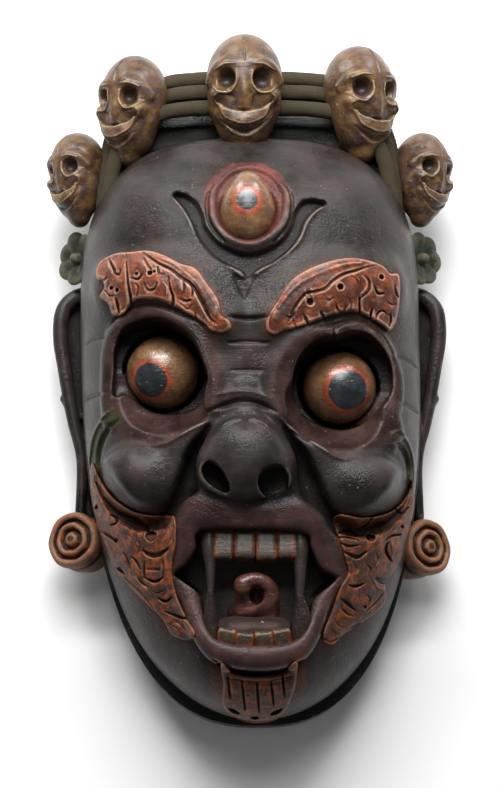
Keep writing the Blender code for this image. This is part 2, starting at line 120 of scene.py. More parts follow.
def flowing(points: list[Point], closed: bool = False, samples: int = 8) -> np.ndarray:
    """Draws a smooth curve through a few points.

    Args:
        points: The points; they may carry further columns, such as a radius.
        closed: Whether the curve runs back to its first point.
        samples: Steps between one point and the next.

    Returns:
        The points along the curve, one to a row.
    """
    knots = np.asarray(points, dtype=np.float64)
    count = len(knots)
    if closed:
        spans = [[knots[(i + j) % count] for j in (-1, 0, 1, 2)] for i in range(count)]
    else:
        padded = np.vstack([2 * knots[0] - knots[1], knots, 2 * knots[-1] - knots[-2]])
        spans = [padded[i : i + 4] for i in range(count - 1)]
    steps = np.linspace(0.0, 1.0, samples, endpoint=False)[:, None]
    rows = []
    for before, start, end, after in spans:
        slope = 0.5 * (end - before)
        bend = before - 2.5 * start + 2.0 * end - 0.5 * after
        twist = 0.5 * (after - before) + 1.5 * (start - end)
        rows.append(start + slope * steps + bend * steps**2 + twist * steps**3)
    curve = np.vstack(rows)
    return curve if closed else np.vstack([curve, knots[-1]])


def stretches(curve: np.ndarray, closed: bool) -> zip:
    """Pairs each point of a curve with the next one."""
    return zip(curve, np.roll(curve, -1, axis=0) if closed else curve[1:])


def segment_distance(place: tuple[np.ndarray, ...], start: np.ndarray, end: np.ndarray) -> Pair:
    """Measures to one straight segment, in the plane or in space.

    Args:
        place: The coordinates, one array to an axis.
        start: One end of the segment.
        end: The other end of the segment.

    Returns:
        The distances, and how far along the segment (0 to 1) the nearest point lies.
    """
    run = end - start
    length = float(run @ run) or 1.0
    along = sum((axis - s) * r for axis, s, r in zip(place, start, run)) / length
    along = np.clip(along, 0.0, 1.0)
    square = sum((axis - s - along * r) ** 2 for axis, s, r in zip(place, start, run))
    return np.sqrt(square), along


def cut_out(lines: list[np.ndarray], low: np.ndarray, high: np.ndarray) -> tuple[tuple[slice, ...], Grid]:
    """Picks out the part of a grid inside a box.

    Args:
        lines: The grid's lines along each axis.
        low: The box's low corner.
        high: The box's high corner.

    Returns:
        The part's slices, and its open X, Y and Z coordinates.
    """
    cut = tuple(slice(*np.searchsorted(line, ends)) for line, *ends in zip(lines, low, high))
    x, y, z = (line[part].astype(np.float32) for line, part in zip(lines, cut))
    return cut, (x[:, None, None], y[None, :, None], z[None, None, :])


# ---------------------------------------------------------------- solid forms

UNDER_FLOOR = -20.0  # forms that run down through the floor end here
FLARE_REACH = 30.0  # how far up a flared trough is followed, in millimetres
MARGIN = 9.0  # how far round a stretch of a roll its distances are worked out


class Form(ABC):
    """A solid that knows its own extent and how far any place is from its skin."""

    @abstractmethod
    def corners(self) -> Pair:
        """Gives the low and high corner of a box round the form."""

    @abstractmethod
    def distance(self, grid: Grid) -> np.ndarray:
        """Gives signed distances over an open grid, negative inside the form."""


@dataclass(frozen=True)
class Egg(Form):
    """The head's own form: an egg in front view, domed forward of a level and straight behind it.

    Attributes:
        centre: Middle of the egg's round end, at the level where the dome starts.
        half_width: Half the egg's width.
        rise: From the centre to the top of the egg.
        drop: From the centre to the tip of the jaw.
        depth: From the centre's level up to the crown of the dome.
        jaw_power: 2 for an elliptical jaw, more for a squarer one.
        cap_power: The same for the skull cap.
        dome_power: 2 for an elliptical dome, more for a flatter one.
        lean: How far the chin stands to the right of the crown.
    """

    centre: Point = (0.0, 43.0, 35.0)
    half_width: float = 100.0
    rise: float = 104.0
    drop: float = 241.0
    depth: float = 93.0
    jaw_power: float = 2.56
    cap_power: float = 2.9
    dome_power: float = 2.4
    lean: float = 5.0

    def corners(self) -> Pair:
        """Gives a box that reaches below the floor, so that the wall can run on down.

        Returns:
            The low and the high corner.
        """
        x, y, z = self.centre
        wide = self.half_width + abs(self.lean)
        low = np.array([x - wide, y - self.drop, UNDER_FLOOR])
        return low, np.array([x + wide, y + self.rise, z + self.depth])

    def distance(self, grid: Grid) -> np.ndarray:
        """Gives first-order distances: the implicit value over the length of its gradient.

        Args:
            grid: Open X, Y and Z coordinates in millimetres.

        Returns:
            The signed distances.
        """
        x, y, z = grid
        drop_or_rise = np.where(y > self.centre[1], self.rise, self.drop)
        up = (y - self.centre[1]) / drop_or_rise
        across = np.abs(x - self.centre[0] + self.lean * np.minimum(up, 0.0)) / self.half_width
        power = np.where(up > 0.0, self.cap_power, self.jaw_power)
        height = np.abs(up)
        ring = np.maximum((across**power + height**power) ** (1.0 / power), 1e-3)
        slope_x = (across / ring) ** (power - 1) / self.half_width
        ring_slope = np.hypot(slope_x, (height / ring) ** (power - 1) / drop_or_rise)
        lift = np.maximum((z - self.centre[2]) / self.depth, 0.0)
        dome = self.dome_power
        size = np.maximum((ring**dome + lift**dome) ** (1.0 / dome), 1e-3)
        slope_z = (lift / size) ** (dome - 1) / self.depth
        slope = np.sqrt(((ring / size) ** (dome - 1) * ring_slope) ** 2 + slope_z**2)
        return ((size - 1.0) / np.maximum(slope, 1e-4)).astype(np.float32)

    def level(self, x: float, y: float) -> float:
        """Gives the height of the egg's skin above a place in front view.

        Args:
            x: The place's X.
            y: The place's Y.

        Returns:
            The height in millimetres.
        """
        up = (y - self.centre[1]) / (self.rise if y > self.centre[1] else self.drop)
        across = abs(x - self.centre[0] + self.lean * min(up, 0.0)) / self.half_width
        power = self.cap_power if up > 0.0 else self.jaw_power
        ring = min((across**power + abs(up) ** power) ** (1.0 / power), 0.995)
        return self.centre[2] + self.depth * (1.0 - ring**self.dome_power) ** (1.0 / self.dome_power)

    def under(self, x: float, y: float, depth: float) -> np.ndarray:
        """Gives the point that lies a depth under the skin at a place in front view, square to the skin.

        Args:
            x: The place's X.
            y: The place's Y.
            depth: How deep the point lies.

        Returns:
            The point.
        """
        slope_x = (self.level(x + 1.0, y) - self.level(x - 1.0, y)) / 2.0
        slope_y = (self.level(x, y + 1.0) - self.level(x, y - 1.0)) / 2.0
        outward = np.array([-slope_x, -slope_y, 1.0])
        return np.array([x, y, self.level(x, y)]) - outward * (depth / np.linalg.norm(outward))


@dataclass(frozen=True)
class Ball(Form):
    """An ellipsoid, turned as a whole.

    Attributes:
        centre: Its middle.
        half: Its three half sizes.
        turn: Its turn about X, Y and Z in degrees.
    """

    centre: Point
    half: Point
    turn: Point = (0.0, 0.0, 0.0)

    def spin(self) -> np.ndarray:
        """Gives the turn as a matrix."""
        return np.array(Euler([math.radians(angle) for angle in self.turn]).to_matrix())

    def corners(self) -> Pair:
        """Gives the box of the turned ellipsoid."""
        reach = np.sqrt((self.spin() * np.array(self.half)) ** 2 @ np.ones(3))
        return np.array(self.centre) - reach, np.array(self.centre) + reach

    def distance(self, grid: Grid) -> np.ndarray:
        """Gives distances that are exact on the skin and close near it.

        Args:
            grid: Open X, Y and Z coordinates in millimetres.

        Returns:
            The signed distances.
        """
        offset = [axis - middle for axis, middle in zip(grid, self.centre)]
        near, steep = 0.0, 0.0
        for row, half in zip(self.spin().T, self.half):
            along = sum(float(part) * axis for part, axis in zip(row, offset) if abs(part) > 1e-9)
            near = near + (along / half) ** 2
            steep = steep + (along / (half * half)) ** 2
        near, steep = np.sqrt(near), np.sqrt(steep)
        return (near * (near - 1.0) / np.maximum(steep, 1e-4)).astype(np.float32)


@dataclass(frozen=True)
class Roll(Form):
    """A round ridge or groove along a smooth curve, with a radius at each point.

    Attributes:
        knots: (x, y, z, radius) at each point.
        closed: Whether it runs back to its start.
        samples: Steps between one knot and the next.
        flare: None for a round section; otherwise a trough that is open upwards, whose walls lean out
            this much.
    """

    knots: list[Point]
    closed: bool = False
    samples: int = 6
    flare: float | None = None

    def curve(self) -> np.ndarray:
        """Gives the smooth curve with its radius as a fourth column."""
        return flowing(self.knots, self.closed, self.samples)

    def corners(self) -> Pair:
        """Gives the box of the whole ridge.

        Returns:
            The low and the high corner.
        """
        curve = self.curve()
        reach = curve[:, 3:4] + 40.0 * (self.flare or 0.0)
        above = np.array([0.0, 0.0, 0.0 if self.flare is None else 60.0])
        return (curve[:, :3] - reach).min(axis=0), (curve[:, :3] + reach).max(axis=0) + above

    def distance(self, grid: Grid) -> np.ndarray:
        """Gives distances to the nearest stretch, each worked out only in a box round that stretch.

        Args:
            grid: Open X, Y and Z coordinates in millimetres.

        Returns:
            The signed distances.
        """
        axes = [axis.ravel() for axis in grid]
        nearest = np.full([len(axis) for axis in axes], FAR, dtype=np.float32)
        for start, end in stretches(self.curve(), self.closed):
            reach = max(start[3], end[3]) + MARGIN + FLARE_REACH * (self.flare or 0.0)
            low, high = np.minimum(start, end)[:3] - reach, np.maximum(start, end)[:3] + reach
            if self.flare is not None:
                high[2] = FAR
            window, place = cut_out(axes, low, high)
            if min(part.size for part in place) == 0:
                continue
            if self.flare is None:
                away, along = segment_distance(place, start[:3], end[:3])
            else:
                away, along = segment_distance(place[:2], start[:2], end[:2])
                above = place[2] - (start[2] + (end[2] - start[2]) * along)
                away = np.hypot(away, np.minimum(above, 0.0)) - self.flare * np.maximum(above, 0.0)
            away = away - (start[3] + (end[3] - start[3]) * along)
            nearest[window] = np.minimum(nearest[window], away)
        return nearest


@dataclass(frozen=True)
class Plate(Form):
    """A flat plate with a smooth outline and rounded edges.

    Attributes:
        outline: (x, y) points round it.
        low: Height of its underside.
        high: Height of its top.
        tilt: How much its top and underside rise to each millimetre of Y.
        samples: Steps between one outline point and the next; 1 keeps the outline's corners.
    """

    outline: list[Point]
    low: float
    high: float
    tilt: float = 0.0
    samples: int = 6

    def shape(self) -> "Outline":
        """Gives the plate's outline in front view."""
        return Outline(self.outline, self.samples)

    def corners(self) -> Pair:
        """Gives the plate's box.

        Returns:
            The low and the high corner.
        """
        curve = self.shape().curve()
        lean = abs(self.tilt) * np.ptp(curve[:, 1])
        high = np.array([*curve.max(axis=0), self.high + lean])
        return np.array([*curve.min(axis=0), self.low - lean]), high

    def distance(self, grid: Grid) -> np.ndarray:
        """Gives distances to the plate.

        Args:
            grid: Open X, Y and Z coordinates in millimetres.

        Returns:
            The signed distances.
        """
        x, y, z = grid
        side = self.shape().distance(x[:, :, 0], y[:, :, 0])[:, :, None]
        middle, half = (self.low + self.high) / 2, (self.high - self.low) / 2
        centre_y = float(np.mean(np.asarray(self.outline)[:, 1]))
        face = np.abs(z - middle - self.tilt * (y - centre_y)) - half
        outside = np.hypot(np.maximum(side, 0.0), np.maximum(face, 0.0))
        return (outside + np.minimum(np.maximum(side, face), 0.0)).astype(np.float32)


@dataclass(frozen=True)
class Slice(Form):
    """The part of another form between two levels.

    Attributes:
        form: The form that is sliced.
        low: Level of the lower cut.
        high: Level of the upper cut.
    """

    form: Form
    low: float
    high: float

    def corners(self) -> Pair:
        """Gives the slice's box."""
        low, high = self.form.corners()
        return np.array([low[0], low[1], self.low]), np.array([high[0], high[1], self.high])

    def distance(self, grid: Grid) -> np.ndarray:
        """Gives distances to the slice."""
        middle, half = (self.low + self.high) / 2, (self.high - self.low) / 2
        return np.maximum(self.form.distance(grid), np.abs(grid[2] - middle) - half)


# ---------------------------------------------------------------- front-view drawing

THINNEST = 0.05  # half width of the finest cut, in millimetres


@dataclass(frozen=True)
class Outline:
    """A closed line drawn in front view.

    Attributes:
        points: (x, y) points round it.
        samples: Steps between one point and the next; 1 keeps its corners.
    """

    points: list[Point]
    samples: int = 6

    def curve(self) -> np.ndarray:
        """Gives the points along the closed line."""
        return flowing(self.points, closed=True, samples=self.samples)

    def distance(self, x: np.ndarray, y: np.ndarray) -> np.ndarray:
        """Gives signed distances in the plane, negative inside.

        Args:
            x: Coordinates that broadcast with y.
            y: Coordinates that broadcast with x.

        Returns:
            The distances, in the shape that x and y broadcast to.
        """
        nearest = np.full(np.broadcast_shapes(x.shape, y.shape), FAR)
        inside = np.zeros(nearest.shape, dtype=bool)
        for start, end in stretches(self.curve(), True):
            nearest = np.minimum(nearest, segment_distance((x, y), start, end)[0])
            if start[1] != end[1]:
                crossing = (start[1] > y) != (end[1] > y)
                reach = (end[0] - start[0]) * (y - start[1]) / (end[1] - start[1]) + start[0]
                inside ^= crossing & (x < reach)
        return np.where(inside, -nearest, nearest)

    @classmethod
    def distances(cls, points: list[Point], places: np.ndarray) -> np.ndarray:
        """Measures from places on a mesh to an outline in front view.

        Args:
            points: (x, y) points round the outline.
            places: Points in millimetres, one to a row.

        Returns:
            The signed distances, at most REACH.
        """
        outline = cls(points)
        curve = outline.curve()
        low, high = curve.min(axis=0) - REACH, curve.max(axis=0) + REACH
        near = np.all((places[:, :2] > low) & (places[:, :2] < high), axis=1)
        away = np.full(len(places), REACH)
        away[near] = outline.distance(places[near, 0], places[near, 1])
        return np.minimum(away, REACH)


@dataclass(frozen=True)
class Gouge:
    """One cut of a gouge, or one ridge that is left standing, drawn in front view.

    Attributes:
        points: (x, y, half width) at each point of the cut.
        depth: How deep it goes; a negative depth leaves a ridge.
        sharp: 1 is a round trough, 2 a V, and 0.5 a flat floor with steep sides.
    """

    points: list[Point]
    depth: float
    sharp: float = 1.0

    def carve(self, sheet: "Sheet") -> None:
        """Works the cut into a height map.

        Args:
            sheet: The height map.
        """
        curve = flowing(self.points, samples=6)
        widest = curve[:, 2].max()
        window, x, y = sheet.window(curve[:, :2].min(axis=0) - widest, curve[:, :2].max(axis=0) + widest)
        profile = np.zeros(np.broadcast_shapes(x.shape, y.shape))
        for start, end in stretches(curve, False):
            away, along = segment_distance((x, y), start[:2], end[:2])
            half = start[2] + (end[2] - start[2]) * along
            ratio = np.clip(1.0 - away / np.maximum(half, THINNEST), 0.0, 1.0)
            profile = np.maximum(profile, ratio * np.minimum(half / widest, 1.0))
        sheet.height[window] -= self.depth * ease(profile) ** self.sharp


class Sheet:
    """A height map in front view, in millimetres: how far each place of the skin is moved outwards."""

    def __init__(self, x: np.ndarray, y: np.ndarray) -> None:
        """Lays an empty map over the block's own lines.

        Args:
            x: The block's X lines.
            y: The block's Y lines.
        """
        self.x, self.y = x, y
        self.height = np.zeros((len(x), len(y)))

    def window(self, low: Point, high: Point) -> tuple[tuple[slice, slice], np.ndarray, np.ndarray]:
        """Picks out a rectangle of the map.

        Args:
            low: Its low corner.
            high: Its high corner.

        Returns:
            The rectangle's slices, and its open X and Y coordinates.
        """
        first_x, last_x = np.searchsorted(self.x, (low[0], high[0]))
        first_y, last_y = np.searchsorted(self.y, (low[1], high[1]))
        window = (slice(first_x, last_x), slice(first_y, last_y))
        return window, self.x[window[0]][:, None], self.y[window[1]][None, :]

    def plateau(self, outline: Outline, height: float, edge: float) -> None:
        """Raises a region with a steep edge, or sinks it where the height is negative.

        Args:
            outline: The region.
            height: How far it stands out.
            edge: Width of the slope at its rim.
        """
        curve = outline.curve()
        window, x, y = self.window(curve.min(axis=0) - edge, curve.max(axis=0) + edge)
        self.height[window] += height * ease(0.5 - outline.distance(x, y) / edge)

    def dab(self, x: float, y: float, radius: float, height: float, flat: float = 1.0) -> None:
        """Adds one round swelling, or a dimple where the height is negative.

        Args:
            x: Its middle.
            y: Its middle.
            radius: Its radius.
            height: How far it stands out.
            flat: Below 1, the swelling has a wider top and steeper sides.
        """
        window, grid_x, grid_y = self.window((x - radius, y - radius), (x + radius, y + radius))
        reach = np.hypot(grid_x - x, grid_y - y) / radius
        self.height[window] += height * ease(1.0 - reach) ** flat


# ---------------------------------------------------------------- the block

AIR = 3.0  # air left round the forms of a block, in millimetres
CLEAR = 4.0  # how far past its own box a form can change the wood
BAND = 3.0  # cells on either side of the skin that the mesh is drawn from
SURE = 12.0  # distances beyond this are not carried over to a finer grid


def blurred(values: np.ndarray, reach: int) -> np.ndarray:
    """Softens a grid with two rounds of running means along each axis.

    Args:
        values: The grid.
        reach: Cells on either side that a mean takes in.

    Returns:
        The softened grid.
    """
    width = 2 * reach + 1
    for axis in (*range(values.ndim), *range(values.ndim)):
        pads = [(0, 0)] * values.ndim
        pads[axis] = (reach + 1, reach)
        total = np.cumsum(np.pad(values, pads, mode="edge"), axis=axis, dtype=np.float64)
        count = total.shape[axis]
        upper = np.take(total, range(width, count), axis=axis)
        lower = np.take(total, range(0, count - width), axis=axis)
        values = ((upper - lower) / width).astype(np.float32)
    return values


class Block:
    """A block of wood as a grid of signed distances, negative in the wood."""

    def __init__(self, low: Point, high: Point, step: float) -> None:
        """Starts with empty air.

        Args:
            low: Low corner of the working space in millimetres.
            high: High corner of the working space.
            step: Spacing of the grid.
        """
        self.low = np.array(low, dtype=np.float64)
        self.step = step
        counts = np.ceil((np.array(high) - self.low) / step).astype(int) + 1
        self.lines = [self.low[i] + step * np.arange(counts[i]) for i in range(3)]
        self.field = np.full(counts, FAR, dtype=np.float32)

    @classmethod
    def round_forms(cls, forms: list[Form], step: float, blend: float = 0.0) -> "Block":
        """Makes a block just large enough for a few forms, and lays them on.

        Args:
            forms: The forms, in order.
            step: Spacing of the grid.
            blend: Width of the fillets between them.

        Returns:
            The block.
        """
        corners = [form.corners() for form in forms]
        low = np.min([low for low, _ in corners], axis=0) - AIR
        high = np.max([high for _, high in corners], axis=0) + AIR
        block = cls(tuple(low), tuple(high), step)
        for form in forms:
            block.add(form, blend)
        return block

    def copy(self) -> "Block":
        """Gives a block of its own with the same field.

        Returns:
            The copy.
        """
        twin = Block.__new__(Block)
        twin.low, twin.step, twin.lines, twin.field = self.low, self.step, self.lines, self.field.copy()
        return twin

    def finer(self, low: Point, high: Point, step: float) -> "Block":
        """Draws part of the field again on a finer grid.

        Args:
            low: Low corner of the part.
            high: High corner of the part.
            step: Spacing of the finer grid.

        Returns:
            The finer block.
        """
        patch = Block(low, high, step)
        values = self.field
        for axis, line in enumerate(patch.lines):
            spot = np.clip((line - self.low[axis]) / self.step, 0.0, self.field.shape[axis] - 1.001)
            base = spot.astype(int)
            shape = [1, 1, 1]
            shape[axis] = -1
            part = (spot - base).reshape(shape).astype(np.float32)
            first = np.take(values, base, axis=axis)
            values = first + (np.take(values, base + 1, axis=axis) - first) * part
        patch.field = blurred(np.clip(values, -SURE, SURE), max(1, round(0.5 * self.step / step)))
        return patch

    def _reach(self, form: Form, blend: float) -> tuple[tuple[slice, ...], Grid]:
        """Picks out the part of the grid that a form can change.

        Args:
            form: The form.
            blend: Width of its fillet.

        Returns:
            The part's slices and its open coordinates.
        """
        low, high = form.corners()
        margin = blend + CLEAR
        return cut_out(self.lines, low - margin, high + margin)

    def add(self, form: Form, blend: float = 0.0) -> None:
        """Lays a form on, with a fillet of the given width."""
        window, grid = self._reach(form, blend)
        self.field[window] = smooth_min(self.field[window], form.distance(grid), blend)

    def cut(self, form: Form, blend: float = 0.0) -> None:
        """Cuts a form away, with its rim rounded over the given width."""
        window, grid = self._reach(form, blend)
        self.field[window] = -smooth_min(-self.field[window], form.distance(grid), blend)

    def sheet(self) -> Sheet:
        """Gives an empty height map over the block."""
        return Sheet(self.lines[0], self.lines[1])

    def work(self, sheet: Sheet, floor: float = -FAR, fade: float = 1.0) -> None:
        """Works a height map into the skin.

        Args:
            sheet: The height map.
            floor: Level under which nothing is changed.
            fade: Height over which the map comes in above that level.
        """
        first = int(np.searchsorted(self.lines[2], floor))
        strength = ease((self.lines[2][first:] - floor) / fade)[None, None, :]
        self.field[:, :, first:] -= (sheet.height[:, :, None] * strength).astype(np.float32)

    def trim_below(self, level: float) -> None:
        """Saws the block off flat."""
        below = (level - self.lines[2])[None, None, :].astype(np.float32)
        np.maximum(self.field, below, out=self.field)

    def read(self, places: np.ndarray, values: np.ndarray, skip: int) -> np.ndarray:
        """Reads a grid between its lines.

        Args:
            places: Points in millimetres, one to a row.
            values: The grid.
            skip: Lines of the block to each line of the grid.

        Returns:
            The value at each point.
        """
        spot = np.clip((places - self.low) / (self.step * skip), 0.0, np.array(values.shape) - 1.001)
        base = spot.astype(int)
        part = spot - base
        total = np.zeros(len(places))
        for corner in np.ndindex(2, 2, 2):
            weight = np.prod(np.where(corner, part, 1.0 - part), axis=1)
            index = base + corner
            total += weight * values[index[:, 0], index[:, 1], index[:, 2]]
        return total

    def openness(self, places: np.ndarray, radius: float) -> np.ndarray:
        """Measures how much air there is round each place of the skin.

        Args:
            places: Points in millimetres, one to a row.
            radius: How far round each point it looks.

        Returns:
            0 where the skin is flat, towards 1 on an edge and towards -1 in a hollow.
        """
        skip = max(1, int(radius / self.step / 4.0))
        thinned = np.clip(self.field[::skip, ::skip, ::skip], -radius, radius) / radius
        soft = blurred(thinned, max(1, round(0.7 * radius / (self.step * skip))))
        return self.read(places, soft, skip)

    def skin(self, name: str, most_triangles: int) -> Piece:
        """Turns the block into a mesh.

        Args:
            name: The object's name.
            most_triangles: The mesh is thinned to about this many.

        Returns:
            The object, in metres, unturned at the origin.
        """
        band = BAND * self.step
        vdb = openvdb.FloatGrid(band)
        vdb.transform = openvdb.createLinearTransform(voxelSize=self.step)
        vdb.copyFromArray(np.clip(self.field, -band, band))
        points, triangles, quads = vdb.convertToPolygons(0.0, 0.0)
        places = (np.asarray(points, dtype=np.float64) + self.low) * MM
        loops = np.asarray(quads, dtype=np.int32)[:, ::-1]
        mesh = bpy.data.meshes.new(name)
        mesh.vertices.add(len(places))
        mesh.vertices.foreach_set("co", places.astype(np.float32).ravel())
        mesh.loops.add(loops.size)
        mesh.loops.foreach_set("vertex_index", loops.ravel())
        mesh.polygons.add(len(loops))
        mesh.polygons.foreach_set("loop_start", np.arange(0, loops.size, 4, dtype=np.int32))
        mesh.update(calc_edges=True)
        obj = new_object(name, mesh)
        if 2 * len(loops) > most_triangles:
            thin = obj.modifiers.new("thin", "DECIMATE")
            thin.ratio = most_triangles / (2.0 * len(loops))
            bake(obj)
        obj.data.shade_smooth()
        return obj


# ---------------------------------------------------------------- meshes

HOLLOW_TO_EDGE = 2.5  # how much wider the hollows darkened with dirt and painted shade are than worn edges
PASSES = (2, 60)  # fewest and most rounds of smoothing
FULL_BEND = 0.35  # a bend this sharp, to its width, counts as a full edge


def new_object(name: str, mesh: bpy.types.Mesh) -> Piece:
    """Puts a mesh into the scene as a named object at the origin.

    Args:
        name: The object's name.
        mesh: The mesh.

    Returns:
        The object.
    """
    obj = bpy.data.objects.new(name, mesh)
    bpy.context.scene.collection.objects.link(obj)
    return obj


def bake(obj: Piece) -> Piece:
    """Replaces an object's mesh by what its modifiers make of it.

    Args:
        obj: The object, with modifiers.

    Returns:
        The same object with a plain mesh and no modifiers.
    """
    graph = bpy.context.evaluated_depsgraph_get()
    graph.update()
    mesh = bpy.data.meshes.new_from_object(obj.evaluated_get(graph))
    obj.modifiers.clear()
    obj.data = mesh
    return obj


def places_of(obj: Piece) -> np.ndarray:
    """Gives an object's vertices in millimetres, one to a row.

    Args:
        obj: The object.

    Returns:
        The points.
    """
    flat = np.empty(3 * len(obj.data.vertices), dtype=np.float32)
    obj.data.vertices.foreach_get("co", flat)
    return flat.reshape(-1, 3).astype(np.float64) / MM


def lay_on(obj: Piece, name: str, values: np.ndarray) -> None:
    """Stores one number at each vertex for the paint to read.

    Args:
        obj: The object.
        name: The attribute's name.
        values: One number to each vertex.
    """
    layer = obj.data.attributes.new(name, "FLOAT", "POINT")
    layer.data.foreach_set("value", np.asarray(values, dtype=np.float32))


def lay_wear(obj: Piece, block: Block, edge: float, hollow: float, kept: np.ndarray | float = 1.0) -> None:
    """Stores where hands wear an object, and its hollows, where dirt and painted shade are laid.

    Args:
        obj: The object.
        block: The block it was carved from.
        edge: Width of the edges that wear, in millimetres.
        hollow: Width of the hollows that are darkened with dirt and painted shade.
        kept: Share of the wear that is kept at each vertex.
    """
    places = places_of(obj)
    lay_on(obj, "edge", block.openness(places, edge) * kept)
    lay_on(obj, "hollow", block.openness(places, hollow))


def lay_bends(obj: Piece, width: float = 1.5) -> None:
    """Stores edges and hollows of a mesh with no block behind it, from how far its skin bends.

    Args:
        obj: The object.
        width: Roughly how wide the worn edges are, in millimetres.
    """
    mesh, places = obj.data, places_of(obj)
    count = len(places)
    normals = np.empty(count * 3, dtype=np.float32)
    mesh.vertices.foreach_get("normal", normals)
    ends = np.empty(len(mesh.edges) * 2, dtype=np.int32)
    mesh.edges.foreach_get("vertices", ends)
    first, second = ends[0::2], ends[1::2]
    length = float(np.mean(np.linalg.norm(places[first] - places[second], axis=1)))
    neighbours = np.maximum(np.bincount(first, minlength=count) + np.bincount(second, minlength=count), 1)
    for name, reach in (("edge", width), ("hollow", width * HOLLOW_TO_EDGE)):
        smooth = places.copy()
        for _ in range(int(np.clip((reach / length) ** 2, *PASSES))):
            total = [
                np.bincount(first, smooth[second, i], count) + np.bincount(second, smooth[first, i], count)
                for i in range(3)
            ]
            smooth = np.stack(total, axis=1) / neighbours[:, None]
        bend = np.einsum("ij,ij->i", places - smooth, normals.reshape(-1, 3))
        lay_on(obj, name, np.clip(bend / (reach * FULL_BEND), -1.0, 1.0))


# ---------------------------------------------------------------- the carved head

SIDES = 38.0  # below this level no paint of the face is laid
FRONT = 60.0  # below this level nothing gets the painted shade and dirt of the sockets and the mouth
TEETH_FOOT = 84.0  # the mouth's back, painted grey as a stand-in for the shaded space behind the mouth, lies below this level
HOLLOW_TOP = 75.0  # sockets and mouth above this level are painted to their bottom
RIM_WIDTH = 4.0  # how far past the rim of a hole that paint reaches, and the width of the crown wall's foot
BARE_FROM = 1.5  # bare wood starts this far outside the hollow
CROWN_FOOT = 60.0  # the crown wall stands above this line, and the jaw below its mirror image
WALL_WEAR = 0.3  # the crown wall is little worn

EGG = Egg()


def on_side(side: int, points: list[Point]) -> list[Point]:
    """Draws points of the right side on either side: -1 is the left one, and 1 the right one."""
    return [(side * point[0], *point[1:]) for point in points]


# Front-view outlines, in millimetres, shared by the carving and by the paint.
THIRD_EYE_RING = [(21, 89), (19.5, 99), (11, 109.5), (0, 113), (-11, 109.5), (-19.5, 99), (-21, 89),
    (-19, 77), (-11, 68), (0, 64.5), (10, 68), (18.5, 77)]
FLAME = [
    (-43, 96.5), (-38, 97), (-31, 92), (-26.5, 84), (-24.5, 76), (-18, 67), (-9, 61.5), (-1, 59.5),
    (8, 61.5), (17, 67), (23, 76), (25.5, 85), (30, 91.5), (37, 93), (43, 91), (38, 87.5), (31, 80),
    (28, 71), (22, 62), (13, 54.5), (5, 51), (-1, 46), (-5, 50), (-14, 54), (-23, 61), (-29, 70), (-33, 80),
    (-38, 89),
]
TEAR = [(-8.5, 46.5), (-3.5, 45.5), (3.5, 47), (0, 40), (-3.2, 34)]
LEFT_LID = [
    (-81, -10), (-80.5, 8), (-79, 18), (-75, 27.5), (-66, 33), (-57, 34), (-47, 31), (-37, 26), (-29, 22),
    (-22, 15),
    (-17.5, 5), (-15.5, -8), (-17, -24), (-27, -36), (-38, -42), (-46, -46), (-56, -47), (-68, -41),
    (-79, -30),
]
RIGHT_LID = [
    (84, -14), (83.5, 0), (81.5, 8), (77, 16), (68, 23), (60, 25), (50, 22.5), (38.5, 19), (26, 13),
    (17, 4),
    (12, -7), (11, -20), (18, -34), (29, -41), (39, -48), (48, -54), (60, -50), (72, -44), (82, -38),
    (83, -26),
]
LIPS = [
    (-39, -87), (-34.9, -78.3), (-30.5, -75.5), (-24.9, -76.6), (-13.9, -79.8), (0.6, -81.1), (10.5, -80.9),
    (19.4, -79.4), (24.9, -78.9), (30.5, -80.6), (37.1, -85.6), (42.6, -94.5), (44.8, -103), (51, -116.5),
    (48.6, -122), (44.5, -131.5), (41, -142.5), (37.5, -153), (31, -161), (23, -166.5), (8, -170),
    (-3, -169.5),
    (-15, -165.5), (-22, -159.5), (-28.8, -150), (-33, -139), (-37, -131), (-41, -122.5), (-43, -115),
    (-40, -108),
    (-41, -100), (-40, -92),
]
MOUTH = [
    (-27, -94), (-29.6, -103), (-34.5, -111), (-41, -116.5), (-33.5, -122.5), (-27.5, -129), (-25.5, -138),
    (-21.6, -150), (-13, -155), (4, -156.5), (21, -155), (30, -149), (33.5, -138), (36, -130),
    (47.5, -119.5),
    (39, -113.5), (34, -103), (30, -95), (2, -93),
]
CHIN_STRIPS = (
    [(-23, -164), (-15, -165), (-14.5, -185), (-19.5, -185)],
    [(25, -163), (31, -163), (30.5, -184), (25, -184)],
)
CHEEKS = (
    (
        Ball((-57, -62.5, 90), (27.5, 24.0, 31), (0, -10, 0)),
        [(-21, -37, 112, 5), (-31, -43, 111, 9), (-42, -52, 106, 13), (-48, -60, 102, 16)],
    ),
    (
        Ball((59, -66.5, 90), (29.0, 23.0, 31), (0, 12, -4)),
        [(18, -38, 113, 5), (28, -45, 112, 9), (40, -55, 107, 13), (48, -63, 102, 16)],
    ),
)
CHEEK_TROUGHS = (
    [
        (-22.5, -38, 121.5, 1.4), (-29.5, -51, 113.0, 3.8), (-32.5, -63, 108.0, 5.0),
        (-37, -76, 105.0, 5.4), (-44, -85.5, 102.0, 5.0),
        (-56, -89.5, 96.0, 4.6), (-70, -85, 86.0, 4.0), (-81, -74, 78.0, 3.0), (-87.5, -60, 71.5, 1.6),
    ],
    [
        (19.5, -39, 122.5, 1.4), (26.5, -52, 114.0, 3.8), (31, -64, 109.0, 5.0), (37, -78, 106.0, 5.4),
        (46, -88.5, 102.0, 5.0),
        (60, -92.5, 95.0, 4.6), (76, -87.5, 82.5, 4.0), (87.5, -76.5, 73.0, 3.0), (93, -64, 64.0, 1.6),
    ],
)
LEFT_FOLD = [(-90.5, -50), (-90.5, -42), (-87.5, -33.5), (-82.5, -28), (-76, -24), (-71, -31), (-78, -36),
    (-83, -42), (-85, -52), (-83, -62), (-88.5, -64)]
